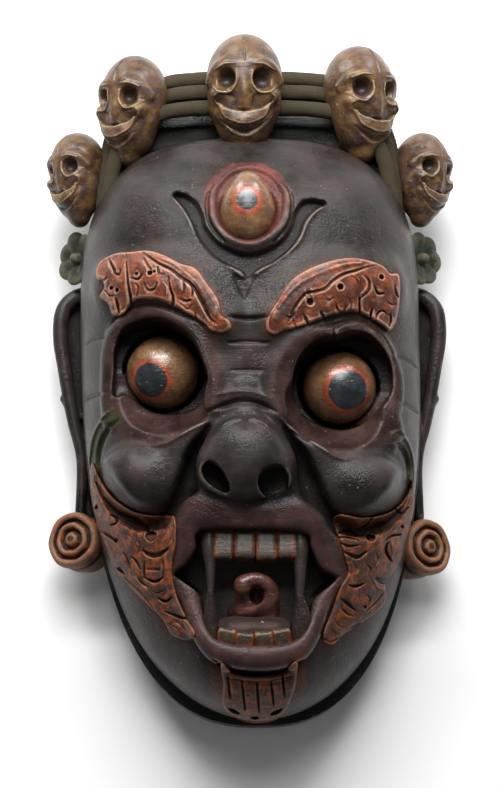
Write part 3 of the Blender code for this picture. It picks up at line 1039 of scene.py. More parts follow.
RIGHT_FOLD = [(80, -37.5), (84.6, -35.5), (90, -41), (93.5, -50), (93, -63), (89.5, -62), (90, -52),
    (87, -46)]


def ridge(places: list[Point], closed: bool = False) -> Roll:
    """Lays a round ridge along the egg's skin.

    Args:
        places: (x, y, radius, how far it stands out) at each point.
        closed: Whether it runs back to its start.

    Returns:
        The ridge.
    """
    return Roll([(*EGG.under(x, y, radius - proud), radius) for x, y, radius, proud in places], closed)


@dataclass(frozen=True)
class EyeSocket:
    """One socket with its rims, its lower lid and the ball's bed.

    Attributes:
        rim: (x, y) along the rim's crest, from the outer corner over the top to the nose.
        hollow: (x, y) round the hollow's edge.
        lobe: The slope of the lower lid that leans on the ball.
        ball: Middle of the eyeball.
        radius: Radius of the eyeball.
    """

    rim: list[Point]
    hollow: list[Point]
    lobe: Ball
    ball: Point
    radius: float = 20.8

    def lay(self, block: Block) -> None:
        """Carves the socket.

        Args:
            block: The block that is worked.
        """
        x, y, z = self.ball
        block.cut(Ball((x, y - 16.0, 126.0), (33.0, 24.0, 34.0)), 3.0)
        block.add(ridge([(x, y, 5.5, 3.0) for x, y in self.rim]), 4.0)
        block.cut(Plate(self.hollow, 88.0, 160.0), 1.6)
        block.cut(Ball((x, y + 0.8, z), (self.radius + 2.4, self.radius + 2.6, self.radius + 2.4)), 1.0)
        block.add(self.lobe, 5.0)
        clear = self.radius + 0.4
        block.cut(Ball((x, y, z), (clear, clear, clear)), 0.5)


SOCKETS = (
    EyeSocket(
        [(-79, -30), (-80.5, -18), (-80.3, -3), (-80, 7), (-77.3, 16.9), (-73, 21.8), (-66, 25),
            (-58, 26.6), (-49.7, 25.6), (-39.7, 20.5), (-32.6, 14), (-26.9, 5.3), (-22.6, -4.8),
            (-19.8, -14.8), (-20, -25)],
        [(-76.5, -16), (-76.5, -2), (-76, 10), (-72, 19.5), (-65.4, 23), (-55.4, 24.8), (-46.9, 23.3),
            (-36.9, 18), (-30.5, 11), (-26, 1), (-23, -9.5), (-25, -17), (-32, -22.5), (-42, -25.5),
            (-52, -25), (-61, -21), (-69, -16)],
        Ball((-72.0, -15.0, 80.0), (13.0, 14.0, 14.0), (0, -10, 0)),
        (-49.0, -1.0, 90.0),
    ),
    EyeSocket(
        [(80, -42), (83.2, -35.6), (81, -27), (82.5, -20), (83.5, -10), (82.2, -1.7), (78.9, 5.7),
            (74.1, 12.3), (67.7, 17.3), (59.6, 18.8), (53, 17.8), (47.5, 15.4), (42, 15.4), (35.2, 14.8),
            (27.1, 11.5), (22, 6.5), (16.6, -1.7), (13.6, -10), (13, -20), (16, -30)],
        [(24, -17.7), (24, -7.9), (27.5, 2), (34.5, 10), (42, 13.6), (48.5, 14.3), (54.8, 16.9),
            (61.3, 17.6), (67.8, 16), (73.4, 11.6), (77.8, 5.8), (80.3, -1.3), (80.3, -12), (76, -21),
            (69, -28), (60, -33), (52, -34.5), (43, -33), (34, -29), (28, -24), (25, -20)],
        Ball((73.0, -28.0, 80.0), (14.0, 15.0, 13.0), (0, 10, 0)),
        (50.8, -9.8, 90.0),
    ),
)


@dataclass(frozen=True)
class Hollow(Form):
    """The hollowed back: a smaller egg, less the wood that is left behind the eyes and the mouth.

    Attributes:
        egg: The egg that the adze follows.
        beds: The wood that is left.
        blend: Width of the fillet where they meet.
    """

    egg: Egg = Egg(half_width=84.0, rise=90.0, drop=227.0, depth=66.0)
    beds: tuple[Ball, ...] = (
        Ball((-49.0, -1.0, 82.0), (34.0, 33.0, 22.0)),
        Ball((50.8, -9.8, 82.0), (34.0, 33.0, 22.0)),
        Ball((4.0, -122.0, 74.0), (54.0, 44.0, 17.0)),
    )
    blend: float = 6.0

    def corners(self) -> Pair:
        """Gives the hollow's box."""
        return self.egg.corners()

    def distance(self, grid: Grid) -> np.ndarray:
        """Gives distances to the hollow.

        Args:
            grid: Open X, Y and Z coordinates in millimetres.

        Returns:
            The signed distances.
        """
        away = self.egg.distance(grid)
        for bed in self.beds:
            away = -smooth_min(-away, bed.distance(grid), self.blend)
        return away


HOLLOW = Hollow()


@dataclass
class Head:
    """The head as one block: cap, brows, sockets, nose, cheeks, lips, jaw, ears, crown wall and hollow back.

    Attributes:
        step: Spacing of the carving grid in millimetres.
        room: Low and high corner of the block that it is carved from.
        crown: Width, rise and height of the crown's two steps.
        band: Height of the groove above the band round the foot.
        wear_width: Width of the edges that wear.
        shade_and_dirt_width: Width of the hollows that are darkened with dirt and painted shade.
    """

    step: float = 0.9
    room: tuple[Point, Point] = ((-128.0, -208.0, -4.0), (128.0, 206.0, 162.0))
    crown: tuple[Point, ...] = ((88.0, 119.0, 60.0), (92.0, 140.0, 44.0))
    band: float = 43.5
    wear_width: float = 2.4
    shade_and_dirt_width: float = 9.0

    def carve(self) -> Block:
        """Carves the whole head.

        Returns:
            The finished block.
        """
        block = Block(*self.room, self.step)
        self._masses(block)
        self._jaw_band(block)
        self._crown_wall(block)
        self._nose(block)
        self._lips(block)
        for socket in SOCKETS:
            socket.lay(block)
        self._ears(block)
        self._third_eye(block)
        self._skin_work(block)
        self._nostrils(block)
        block.cut(HOLLOW, 4.0)
        block.trim_below(0.0)
        return block

    def _masses(self, block: Block) -> None:
        """Lays the egg, the chin, the brows and the cheeks.

        Args:
            block: The block that is worked.
        """
        block.add(Egg(drop=233.0))
        block.add(Ball((5, -146, 60), (46, 48, 45)), 16.0)
        brow = [(80, 48, 14, 5), (60, 47, 15, 6), (36, 41, 14, 6), (15, 22, 9, 5)]
        for side in (-1, 1):
            block.add(ridge(on_side(side, brow)), 12.0)
        for ball, arm in CHEEKS:
            block.add(ball, 3.0)
            block.add(Roll(arm), 7.0)
        for trough in CHEEK_TROUGHS:
            block.cut(Roll(trough, flare=0.22), 3.0)

    def _jaw_band(self, block: Block) -> None:
        """Leaves a dark band standing round the foot of the head, with a groove above it.

        Args:
            block: The block that is worked.
        """
        block.add(Slice(Egg(half_width=100.5, rise=100.0, drop=241.5), -10.0, 40.0), 1.5)
        rim = []
        for turn in np.linspace(0.0, math.pi, 41):
            across, down = math.cos(turn), math.sin(turn)
            reach = (abs(across) ** EGG.jaw_power + down**EGG.jaw_power) ** (-1.0 / EGG.jaw_power)
            x, y = 100.4 * across * reach, -234.5 * down * reach
            rim.append((x + EGG.lean * -y / EGG.drop, y + EGG.centre[1], self.band, 2.6))
        block.cut(Roll(rim, samples=2), 1.5)

    def _crown_wall(self, block: Block) -> None:
        """Lays the two steps of wall that carry the crown.

        Args:
            block: The block that is worked.
        """
        for width, rise, height in self.crown:
            arch = [(x, y) for x, y, _ in crown_path(width, rise, 0.0, 0.0)]
            block.add(Plate([*arch, (-width, 44.0), (width, 44.0)], -20.0, height, samples=1), 1.5)

    def _nose(self, block: Block) -> None:
        """Lays the bridge with its rolls of skin, the bulb and the wings of the nose.

        Args:
            block: The block that is worked.
        """
        block.add(Roll([(-1, 30, 107, 11), (-1, 8, 106, 11), (-2, -8, 108.5, 11.5), (-2.5, -22, 115, 14)]),
            4.0)
        for x, tip in ((-17.5, -15.0), (14.0, 12.5)):
            block.cut(Roll([(x, 14, 114, 2.4), (x * 0.97, 6, 113, 4.4), (x * 0.9, -3, 113, 4.2),
                (tip, -11, 116, 2.0)]), 2.0)
        block.add(Roll([(-11.5, 13.4, 115, 3.4), (-6, 14.8, 119.4, 4.2), (0, 15.2, 120.2, 4.4),
            (6, 14.8, 119.4, 4.2), (10, 13.4, 115, 3.4)]), 0.8)
        block.add(Roll([(-11, 4.6, 116, 2.4), (-5, 5.4, 120.4, 3.0), (0, 5.7, 121.0, 3.2),
            (6, 5.3, 120.2, 3.0), (9.6, 4.6, 116, 2.4)]), 0.6)
        block.add(Roll([(-9.4, -3.2, 118, 1.8), (-1, -2.6, 122.2, 2.4), (8.6, -3.2, 118, 1.8)]), 0.6)
        block.add(Roll([(-19, -20.5, 113, 3.8), (-11, -15.6, 120.4, 4.6), (-2, -13.8, 123.4, 5.0),
            (6.5, -15.6, 120.4, 4.6), (14.5, -21, 113, 3.8)]), 1.0)
        block.add(Ball((-2, -55.5, 121), (24.6, 24.2, 35.5)), 4.0)
        for x, tall in ((-18.4, 13.6), (14.8, 14.4)):
            block.add(Ball((x, -60, 119), (10.8, tall, 20.5)), 5.0)
        block.cut(Plate([(-40, -90), (36, -90), (36, -20), (-40, -20)], 151.0, 170.0, 0.06), 13.0)

    def _nostrils(self, block: Block) -> None:
        """Cuts the nostrils, an almond and a rounder one.

        Args:
            block: The block that is worked.
        """
        left = [(-25.6, -61), (-21, -58.5), (-14.5, -64), (-10.4, -73.5), (-14, -74.8), (-21, -71),
            (-25, -66.5)]
        right = [(4.3, -71), (6.5, -64.5), (12, -61.3), (18, -61.6), (21.3, -67), (19.6, -73),
            (14.5, -75.8), (7.5, -76)]
        for outline in (left, right):
            block.cut(Plate(outline, 122.0, 170.0), 0.8)

    def _lips(self, block: Block) -> None:
        """Lays both lips, draws up the worn edge of the upper one and cuts the mouth in, down to the wood
        left behind it.

        Args:
            block: The block that is worked.
        """
        upper = [
            (-42, -117, 98, 3.2), (-36.5, -106, 104, 6), (-34, -97, 108, 7), (-31, -88, 110.5, 7.5),
            (-22, -85.5, 112, 8),
            (-10, -87.5, 113, 8.5), (2, -88, 114, 8.5), (14, -87.5, 113.5, 8.5), (25, -86.5, 112, 8),
            (34, -91, 110, 7.5),
            (38.5, -101, 105.5, 6.5), (43.5, -110, 102, 5.5), (50, -118, 98, 3.2),
        ]
        edge = [
            (-38.5, -88, 107, 2.4), (-34.5, -80, 112, 2.6), (-29.5, -77.6, 115, 2.8), (-22, -79, 117, 2.8),
            (-12, -81.5, 118.5, 2.8), (0.6, -83, 119, 2.8), (11, -82.5, 118.5, 2.8), (20, -81, 117.5, 2.8),
            (29, -82, 115.5, 2.8), (36.5, -87, 111.5, 2.6), (42, -95.5, 107, 2.2),
        ]
        lower = [
            (-42, -118, 97, 3.2), (-35, -127, 99, 5), (-30, -138, 101, 5.6), (-25.5, -149, 103, 6.4),
            (-18, -157.5, 105, 7.6),
            (-8, -161, 106, 8.2), (4, -162, 107, 8.4), (16, -161, 106.5, 8.2), (26, -157.5, 105, 7.6),
            (33.5, -147.5, 103, 6.4),
            (38, -136, 101, 5.6), (43, -126, 99, 5), (50, -119, 97, 3.2),
        ]
        block.add(Roll(upper), 6.0)
        block.add(Roll(edge), 5.0)
        block.add(Roll(lower), 4.0)
        block.cut(Plate(MOUTH, 76.0, 160.0), 2.0)

    def _third_eye(self, block: Block) -> None:
        """Raises the ring of the third eye and sinks its bed."""
        block.add(ridge([(x, y, 2.8, 2.3) for x, y in THIRD_EYE_RING], closed=True), 1.4)
        block.cut(Ball((-0.5, 88.7, 130), (18.8, 22.2, 17)), 0.8)

    def _ears(self, block: Block) -> None:
        """Lays the ears: a flat shell in a broad rolled rim, a ledge across the hollow and a narrow lobe.

        Args:
            block: The block that is worked.
        """
        shell = [
            (90, 62), (101, 62), (109, 58), (115, 50), (117, 40), (117, 28), (114.5, 14), (112.5, 2),
            (110, -12),
            (107, -24), (103, -36), (101.5, -48), (102, -60), (102.5, -74), (95, -78), (88, -60), (86, 0),
        ]
        rim = [
            (90, 58.5, 25, 4.4), (100.5, 58, 27, 4.6), (107, 54.5, 28.5, 4.6), (111.6, 48, 29.5, 4.6),
            (113, 39, 30, 4.6), (112.8, 28, 30, 4.4), (110.4, 13.5, 30, 4.2), (108.4, 1, 30, 4.0),
            (106, -12, 30, 3.8), (103.4, -24, 30, 3.6), (100.2, -36, 30, 3.4), (99, -50, 30, 3.2),
            (99.6, -76, 30, 3.2),
        ]
        ledge = [(110.5, -5.5, 28.5, 2.4), (106.5, -11, 28.0, 2.6), (100.5, -15.5, 27.5, 2.4),
            (92, -18, 27, 2.0)]
        second = [(106, -21, 28, 1.8), (101, -27, 28, 2.0), (94, -31, 28, 1.6)]
        lobe = [(94.6, y, 33.0, 2.4) for y in (-26, -50, -76)]
        for side in (-1, 1):
            block.add(Plate(on_side(side, shell), 12.0, 24.5, -0.02), 2.5)
            for line in (rim, ledge, second):
                block.add(Roll(on_side(side, line)), 1.4)
            block.add(Ball((side * 99, 22, 20), (12, 34, 7.5), (0, 0, side * 4)), 2.0)
            block.cut(Roll(on_side(side, lobe)), 1.2)

    def _skin_work(self, block: Block) -> None:
        """Works the fine cuts into the skin: the third eye's flame, folds, creases and worn crests.

        Args:
            block: The block that is worked.
        """
        sheet = block.sheet()
        sheet.plateau(Outline(FLAME), -4.8, 2.4)
        sheet.plateau(Outline(TEAR), -1.8, 2.2)
        for cut in self._face_cuts():
            cut.carve(sheet)
        block.work(sheet, 46.0, 24.0)

    def _face_cuts(self) -> list[Gouge]:
        """Lists the cuts of the face; a negative depth leaves a crest."""
        groove = [(17, 105, 0.8), (22.6, 97, 1.4), (24, 88, 1.7), (22, 77, 1.7), (14, 66, 1.5)]
        return [
            # lower lip of the flame and its worn crest
            Gouge([(-44, 95, 0.8), (-37, 87, 1.8), (-32, 77, 2.0), (-27, 67, 2.0), (-20, 59, 2.0),
                (-10, 51.5, 1.8), (-5, 46.5, 1.0)], -0.9),
            Gouge([(44, 90, 0.8), (37, 85, 1.8), (31.5, 76, 2.0), (27, 66, 2.0), (18, 58, 2.0),
                (8, 50.5, 1.8), (2, 46, 1.0)], -0.9),
            # groove outside the ring
            *(Gouge(on_side(side, groove), 1.6) for side in (-1, 1)),
            # rolls of the bridge
            Gouge([(-13.5, 23.0, 1.0), (-7, 22.4, 1.7), (0, 22.2, 1.9), (6.5, 22.4, 1.7),
                (11.5, 23.0, 1.0)], 2.2, 1.0),
            Gouge([(-12, 8.8, 0.9), (-0.5, 9.4, 1.2), (10.5, 8.8, 0.9)], 1.6, 1.2),
            Gouge([(-10, -6.6, 0.8), (-1, -6.2, 1.4), (8.4, -6.6, 0.8)], 1.4, 1.2),
            Gouge([(-18, -20.5, 1.0), (-11, -19, 1.6), (-3.7, -18.6, 1.8), (3.7, -19.6, 1.6),
                (12, -23, 1.0)], -1.0, 1.2),
            Gouge([(-22, -29, 1.4), (-12, -25.5, 2.8), (-3, -24.2, 3.2), (6, -25.5, 2.8), (15, -30, 1.4)],
                2.6, 0.9),
            Gouge([(-15, -33.5, 1.2), (-8.3, -30.4, 2.0), (-2.8, -29.5, 2.2), (2.8, -30.4, 2.0),
                (9.5, -34, 1.2)], -0.8),
            # upper edge of the nose's face, parted in the middle
            Gouge([(-17, -43, 1.2), (-13, -39, 2.0), (-8, -36.5, 2.2), (-4.4, -36.4, 1.6)], -1.3, 1.2),
            Gouge([(12.5, -44, 1.2), (8.5, -39.5, 2.0), (3, -36.6, 2.2), (0, -36.8, 1.6)], -1.3, 1.2),
            Gouge([(-2.3, -33.5, 1.0), (-2.3, -38, 1.9), (-2.3, -43, 0.8)], 0.9),
            # second lines of the lids
            Gouge([(36, 17.2, 0.8), (46.6, 19.6, 1.3), (54.7, 22.4, 1.4), (61.2, 23.6, 1.4),
                (67.7, 21.2, 1.4), (73.8, 17.6, 1.3), (79, 10.5, 1.2), (81, 4, 0.7)], 1.3),
            Gouge([(46.5, 13, 0.6), (47.5, 17, 1.1), (50.5, 20.5, 0.6)], 1.0),
            Gouge([(-80, 22, 0.8), (-74, 28.5, 1.5), (-66, 31.5, 1.6), (-57, 32, 1.6), (-47, 29.5, 1.6),
                (-37, 25, 1.5), (-29, 20.5, 1.2), (-22, 13, 0.8)], 1.1),
            # folds and cracks of the temples
            Gouge([(-97, 19.4, 0.7), (-89, 18.4, 1.1), (-81, 17.9, 0.7)], 0.9),
            Gouge([(-98, -12, 1.2), (-88.7, -13.4, 2.0), (-80.5, -14.1, 1.0)], 1.6),
            Gouge([(82.5, 6.7, 1.0), (92, 6.5, 1.6), (97, 6, 1.0)], 1.5),
            Gouge([(84.6, -19.3, 1.0), (92, -19.6, 1.8), (98, -20, 1.2)], 1.6),
            # folds beside the cheeks
            Gouge([(-93, -58, 1.0), (-91.8, -46, 1.7), (-89, -35.5, 1.8), (-83.5, -28.5, 1.7),
                (-76.5, -23.5, 1.0)], -1.5),
            Gouge([(-86, -58, 1.2), (-85, -45, 2.6), (-81, -36, 2.6), (-73, -30, 1.2)], 2.6),
            Gouge([(80, -38, 0.8), (84.6, -35.6, 1.5), (90.5, -41, 1.7), (93.8, -50, 1.7), (94, -62, 1.0)],
                -1.4),
            Gouge([(80, -42, 1.0), (86, -44, 2.2), (89.8, -52, 2.2), (90, -62, 1.0)], 2.4),
            # crests of the cheeks
            Gouge([(-22, -34.5, 0.8), (-30, -37.6, 1.7), (-38, -42, 1.9), (-46, -46, 1.8),
                (-58, -47.5, 0.8)], -1.2),
            Gouge([(15, -32, 0.8), (22, -37.5, 1.7), (30, -42, 1.9), (39, -48.5, 1.9), (48, -54, 1.8),
                (60, -55, 0.8)], -1.2),
            # creases under the lips
            Gouge([(-20, -163.5, 1.0), (-9, -170, 1.8), (4, -171.8, 2.0), (17, -171, 1.8), (29, -164, 1.0)],
                2.6),
            Gouge([(-10, -174.5, 0.8), (4, -176.8, 1.3), (18, -175.6, 1.3), (24, -172, 0.8)], 1.2),
            Gouge([(-41.5, -117, 1.0), (-34, -121.5, 1.6), (-27, -126, 0.9)], 2.0),
            Gouge([(49.5, -118, 1.0), (42, -121.5, 1.8), (35, -128, 0.9)], 2.2),
        ]

    def paint_zones(self, head: Piece, block: Block, reliefs: list["Relief"]) -> None:
        """Stores how far each place of the skin is from the edge of each paint, where it is worn, and where
        its hollows take dirt and painted shade.

        Args:
            head: The head's mesh.
            block: The block that it was carved from.
            reliefs: The brows and beards that stand on it.
        """
        places = places_of(head)
        x, y, z = places.T
        front = Outline.distances
        sides = np.where(z < SIDES, REACH, 0.0)
        zones = {
            "lids": np.minimum(front(LEFT_LID, places), front(RIGHT_LID, places)),
            "lips": front(LIPS, places),
            "throat_shade": np.maximum(front(MOUTH, places), z - TEETH_FOOT),
            "halo": np.hypot(x + 1.0, (y - 89.0) * 0.86) - 21.0 - 4.0 * ease((y - 78.0) / 14.0),
            "folds": np.minimum(front(LEFT_FOLD, places), front(RIGHT_FOLD, places)),
            "hair": np.min([front(relief.outline.points, places) for relief in reliefs], axis=0),
            "chin_strips": np.min([front(strip, places) for strip in CHIN_STRIPS], axis=0),
        }
        for name, away in zones.items():
            lay_on(head, name, np.clip(away + sides, -REACH, REACH))
        # Painted shade and dirt: the insides of the sockets and the mouth are painted nearly black.
        sunk_shade_and_dirt = np.min([front(outline, places) for outline in (*(s.hollow for s in SOCKETS), MOUTH)], axis=0)
        for socket in SOCKETS:
            sunk_shade_and_dirt = np.maximum(sunk_shade_and_dirt, 1.0 - socket.lobe.distance((x, y, z)))
        lay_on(head, "sunk_shade_and_dirt", np.clip(sunk_shade_and_dirt, -REACH, REACH) + np.where(z < FRONT, REACH, 0.0))
        painted = (sunk_shade_and_dirt < RIM_WIDTH) & (z > HOLLOW_TOP)
        bare = np.maximum(HOLLOW.distance((x, y, z)) - BARE_FROM, np.where(painted, RIM_WIDTH + 1.0, -FAR))
        lay_on(head, "bare", bare)
        crown = np.minimum(ring_of(places), 2.0 * REACH)
        lay_on(head, "crown", np.where(y > CROWN_FOOT, -crown, REACH))
        lay_on(head, "band", np.where(y < -CROWN_FOOT, z - self.band, REACH))
        # The brows and beards are raised on a copy of the block, so that dirt and painted shade also gather
        # round their feet.
        whole = block.copy()
        sheet = whole.sheet()
        for relief in reliefs:
            sheet.plateau(relief.outline, relief.proud, 2.0)
        whole.work(sheet, 34.0)
        kept = np.where((y > CROWN_FOOT) & (crown > RIM_WIDTH), WALL_WEAR, 1.0)
        lay_wear(head, whole, self.wear_width, self.shade_and_dirt_width, kept)


def ring_of(places: np.ndarray) -> np.ndarray:
    """Gives how far outside the egg's foot each place stands in front view, in millimetres.

    Args:
        places: Points in millimetres, one to a row.

    Returns:
        The distances.
    """
    x, y = places[:, 0], places[:, 1] - EGG.centre[1]
    across = np.abs(x) / EGG.half_width
    up = np.abs(y) / np.where(y > 0.0, EGG.rise, EGG.drop)
    power = EGG.cap_power
    return ((across**power + up**power) ** (1.0 / power) - 1.0) * EGG.half_width


ARCH_POINTS = 61
ARCH_SQUARE = 0.46  # below 1, an arch is squarer than half an ellipse
ARCH_RISE = 1.5  # above 1, an arch climbs mostly near its top


def crown_path(width: float, rise: float, side_z: float, top_z: float) -> list[Point]:
    """Draws one arch of the crown over the dome, from its right end to its left one.

    Args:
        width: Half the arch's width.
        rise: From the head's centre to the arch's top.
        side_z: Height of its ends.
        top_z: Height of its top.

    Returns:
        The points.
    """
    points = []
    for angle in np.linspace(math.radians(1.0), math.radians(179.0), ARCH_POINTS):
        across = math.copysign(abs(math.cos(angle)) ** ARCH_SQUARE, math.cos(angle))
        up = math.sin(angle) ** ARCH_SQUARE
        level = side_z + (top_z - side_z) * up**ARCH_RISE
        points.append((width * across, EGG.centre[1] + rise * up, level))
    return points


# ---------------------------------------------------------------- brows, beards and the tuft

RELIEF_ROOT = 2.5  # how deep the carved hair reaches into the head's skin


class Hair(Enum):
    """The two kinds of carved hair, each with a paint of its own."""

    BROW = "brow_paint"
    BEARD = "beard_paint"


@dataclass(frozen=True)
class Relief:
    """Curled hair in low relief that stands on the head's skin inside an outline.

    Attributes:
        name: The piece's name.
        outline: Its outline in front view.
        cuts: Its grooves and crests.
        holes: (x, y, radius, depth) of its drilled holes.
        swells: (x, y, radius, height) of its soft swellings.
        hair: The kind of hair.
        proud: How far it stands off the skin.
        step: Spacing of its carving grid in millimetres.
    """

    name: str
    outline: Outline
    cuts: list[Gouge]
    holes: list[Point]
    swells: list[Point]
    hair: Hair = Hair.BEARD
    proud: float = 2.0
    step: float = 0.55

    def lay(self, head: Block) -> Piece:
        """Carves the relief on the head's skin.

        Args:
            head: The finished block of the head.

        Returns:
            The piece, with its wear stored.
        """
        curve = self.outline.curve()
        low, high = curve.min(axis=0) - CLEAR, curve.max(axis=0) + CLEAR
        patch = head.finer((*low, 36.0), (*high, 136.0), self.step)
        patch.add(Egg(half_width=87.0, rise=93.0, drop=230.0, depth=69.0))
        base = patch.field.copy()
        sheet = patch.sheet()
        sheet.plateau(self.outline, self.proud, 2.6)
        for x, y, radius, height in self.swells:
            sheet.dab(x, y, radius, height)
        for cut in self.cuts:
            cut.carve(sheet)
        for x, y, radius, depth in self.holes:
            sheet.dab(x, y, radius * 1.45, 0.5, 0.6)
            sheet.dab(x, y, radius, -depth - 0.5, 0.4)
        patch.work(sheet)
        side = self.outline.distance(sheet.x[:, None], sheet.y[None, :])[:, :, None].astype(np.float32)
        lifted = -smooth_min(-patch.field, -side, 0.8)
        patch.field = np.minimum(base, lifted)
        worn = patch.copy()
        patch.field = np.maximum(lifted, -(base + RELIEF_ROOT))
        obj = patch.skin(self.name, 90000)
        lay_wear(obj, worn, 1.1, 3.6)
        return obj


LEFT_BROW = Relief(
    "brow_left",
    Outline([
        (-87, 57), (-84, 61.5), (-76, 64), (-66, 63), (-56, 62.5), (-46, 58), (-38, 53), (-30, 50),
        (-23, 41), (-17, 32), (-15, 23),
        (-11, 20), (-10, 16), (-15, 13.5), (-21, 15), (-25, 19), (-32, 23.5), (-43, 30), (-52, 33.5),
        (-63, 34.5), (-67, 31.5), (-71, 28),
        (-77, 29), (-80, 36), (-84.5, 40), (-82, 44.5), (-83.2, 48.5), (-86.5, 51),
    ]),
    [
        Gouge([(-59.5, 61, 0.8), (-50.6, 53.5, 1.2), (-43.4, 49.2, 1.4), (-38, 44.6, 1.4),
            (-31.6, 39.6, 1.4), (-26.6, 31, 1.4), (-22.6, 23, 1.2), (-19.5, 18, 0.8)], 1.9, 1.2),
        Gouge([(-51, 57.5, 1.2), (-43, 53.4, 2.0), (-36, 48, 2.4), (-29, 41, 2.6), (-23.6, 32, 2.6),
            (-19, 23, 2.2)], -0.7),
        Gouge([(-69.2, 62, 0.5), (-68.3, 50, 0.8), (-67.4, 42, 1.0), (-66.2, 36, 1.3), (-65.9, 31.5, 1.2)],
            3.0, 1.1),
        Gouge([(-44.8, 45, 0.6), (-43.7, 38.2, 0.9), (-42.2, 33.8, 1.2), (-42.7, 29.6, 1.2),
            (-47.5, 29.4, 0.8)], 3.0, 1.1),
        Gouge([(-79.6, 61.8, 0.5), (-77.7, 57, 1.0), (-75.6, 52.4, 1.2)], 2.4),
        Gouge([(-75.6, 51, 1.0), (-73.0, 49.5, 1.0), (-72, 52, 0.7)], 1.4),
        Gouge([(-85.5, 49, 0.8), (-82, 48.2, 1.0), (-79.6, 49.6, 0.6)], 1.6),
        Gouge([(-74.9, 36.8, 0.8), (-73.8, 33, 1.2), (-73.2, 29, 0.9)], 2.2),
        Gouge([(-81.5, 42.5, 0.6), (-78.6, 39.0, 0.9), (-75.4, 38.4, 0.6)], 1.1),
        Gouge([(-58.4, 42.6, 0.7), (-57.0, 39.4, 0.9), (-54.7, 38.2, 1.0), (-52.2, 39.2, 0.9),
            (-51.0, 42, 0.7)], 1.3),
        Gouge([(-66, 46.5, 0.6), (-62, 45.2, 1.0), (-59.6, 47.6, 0.7)], 1.6),
        Gouge([(-63.6, 43.0, 0.5), (-61.8, 40.5, 0.8), (-62.5, 36, 0.6)], 1.2),
        Gouge([(-58.8, 57.5, 0.6), (-56.4, 52.6, 0.9), (-54.4, 49.6, 0.8)], 1.3),
        Gouge([(-50.8, 51.5, 0.6), (-50.2, 47.6, 0.8), (-47.4, 46.4, 0.6)], 1.1),
        Gouge([(-37.8, 29.6, 0.7), (-34.1, 26.6, 0.9), (-31.5, 29, 0.7)], 1.3),
        Gouge([(-38.6, 32.6, 0.8), (-35.2, 31.2, 1.1), (-32.2, 31.6, 0.8)], 2.0),
        Gouge([(-30, 24.6, 0.8), (-29.4, 21.6, 1.1), (-29.6, 19.4, 0.7)], 2.0),
        Gouge([(-36.5, 42.2, 0.6), (-35.8, 38.6, 0.9), (-36.2, 35.6, 0.6)], 1.4),
        Gouge([(-31.9, 39.6, 0.6), (-31.2, 35.6, 0.9), (-31.6, 33, 0.6)], 1.4),
        Gouge([(-47.6, 42, 0.5), (-45.6, 38.6, 0.7), (-45.8, 35, 0.5)], -0.7),
        Gouge([(-24.5, 25.6, 0.6), (-21.6, 21.4, 0.8), (-17.5, 17.6, 0.6)], 1.2),
    ],
    [(-77.4, 42.8, 1.3, 2.4), (-74.0, 41.0, 1.3, 2.4), (-55.2, 48.0, 1.6, 2.6), (-52.9, 48.6, 1.0, 1.6),
        (-62.8, 48.4, 1.1, 1.4)],
    [(-78, 55, 6, 0.8), (-73, 45.6, 4, 0.7), (-78, 34, 5, 0.8), (-61, 54, 7, 0.9), (-55, 35.5, 7, 0.7),
        (-50, 42, 5, 0.6), (-38.6, 38.4, 5, 0.7), (-36, 25.6, 4, 0.4)],
    Hair.BROW, 3.4, 0.5,
)
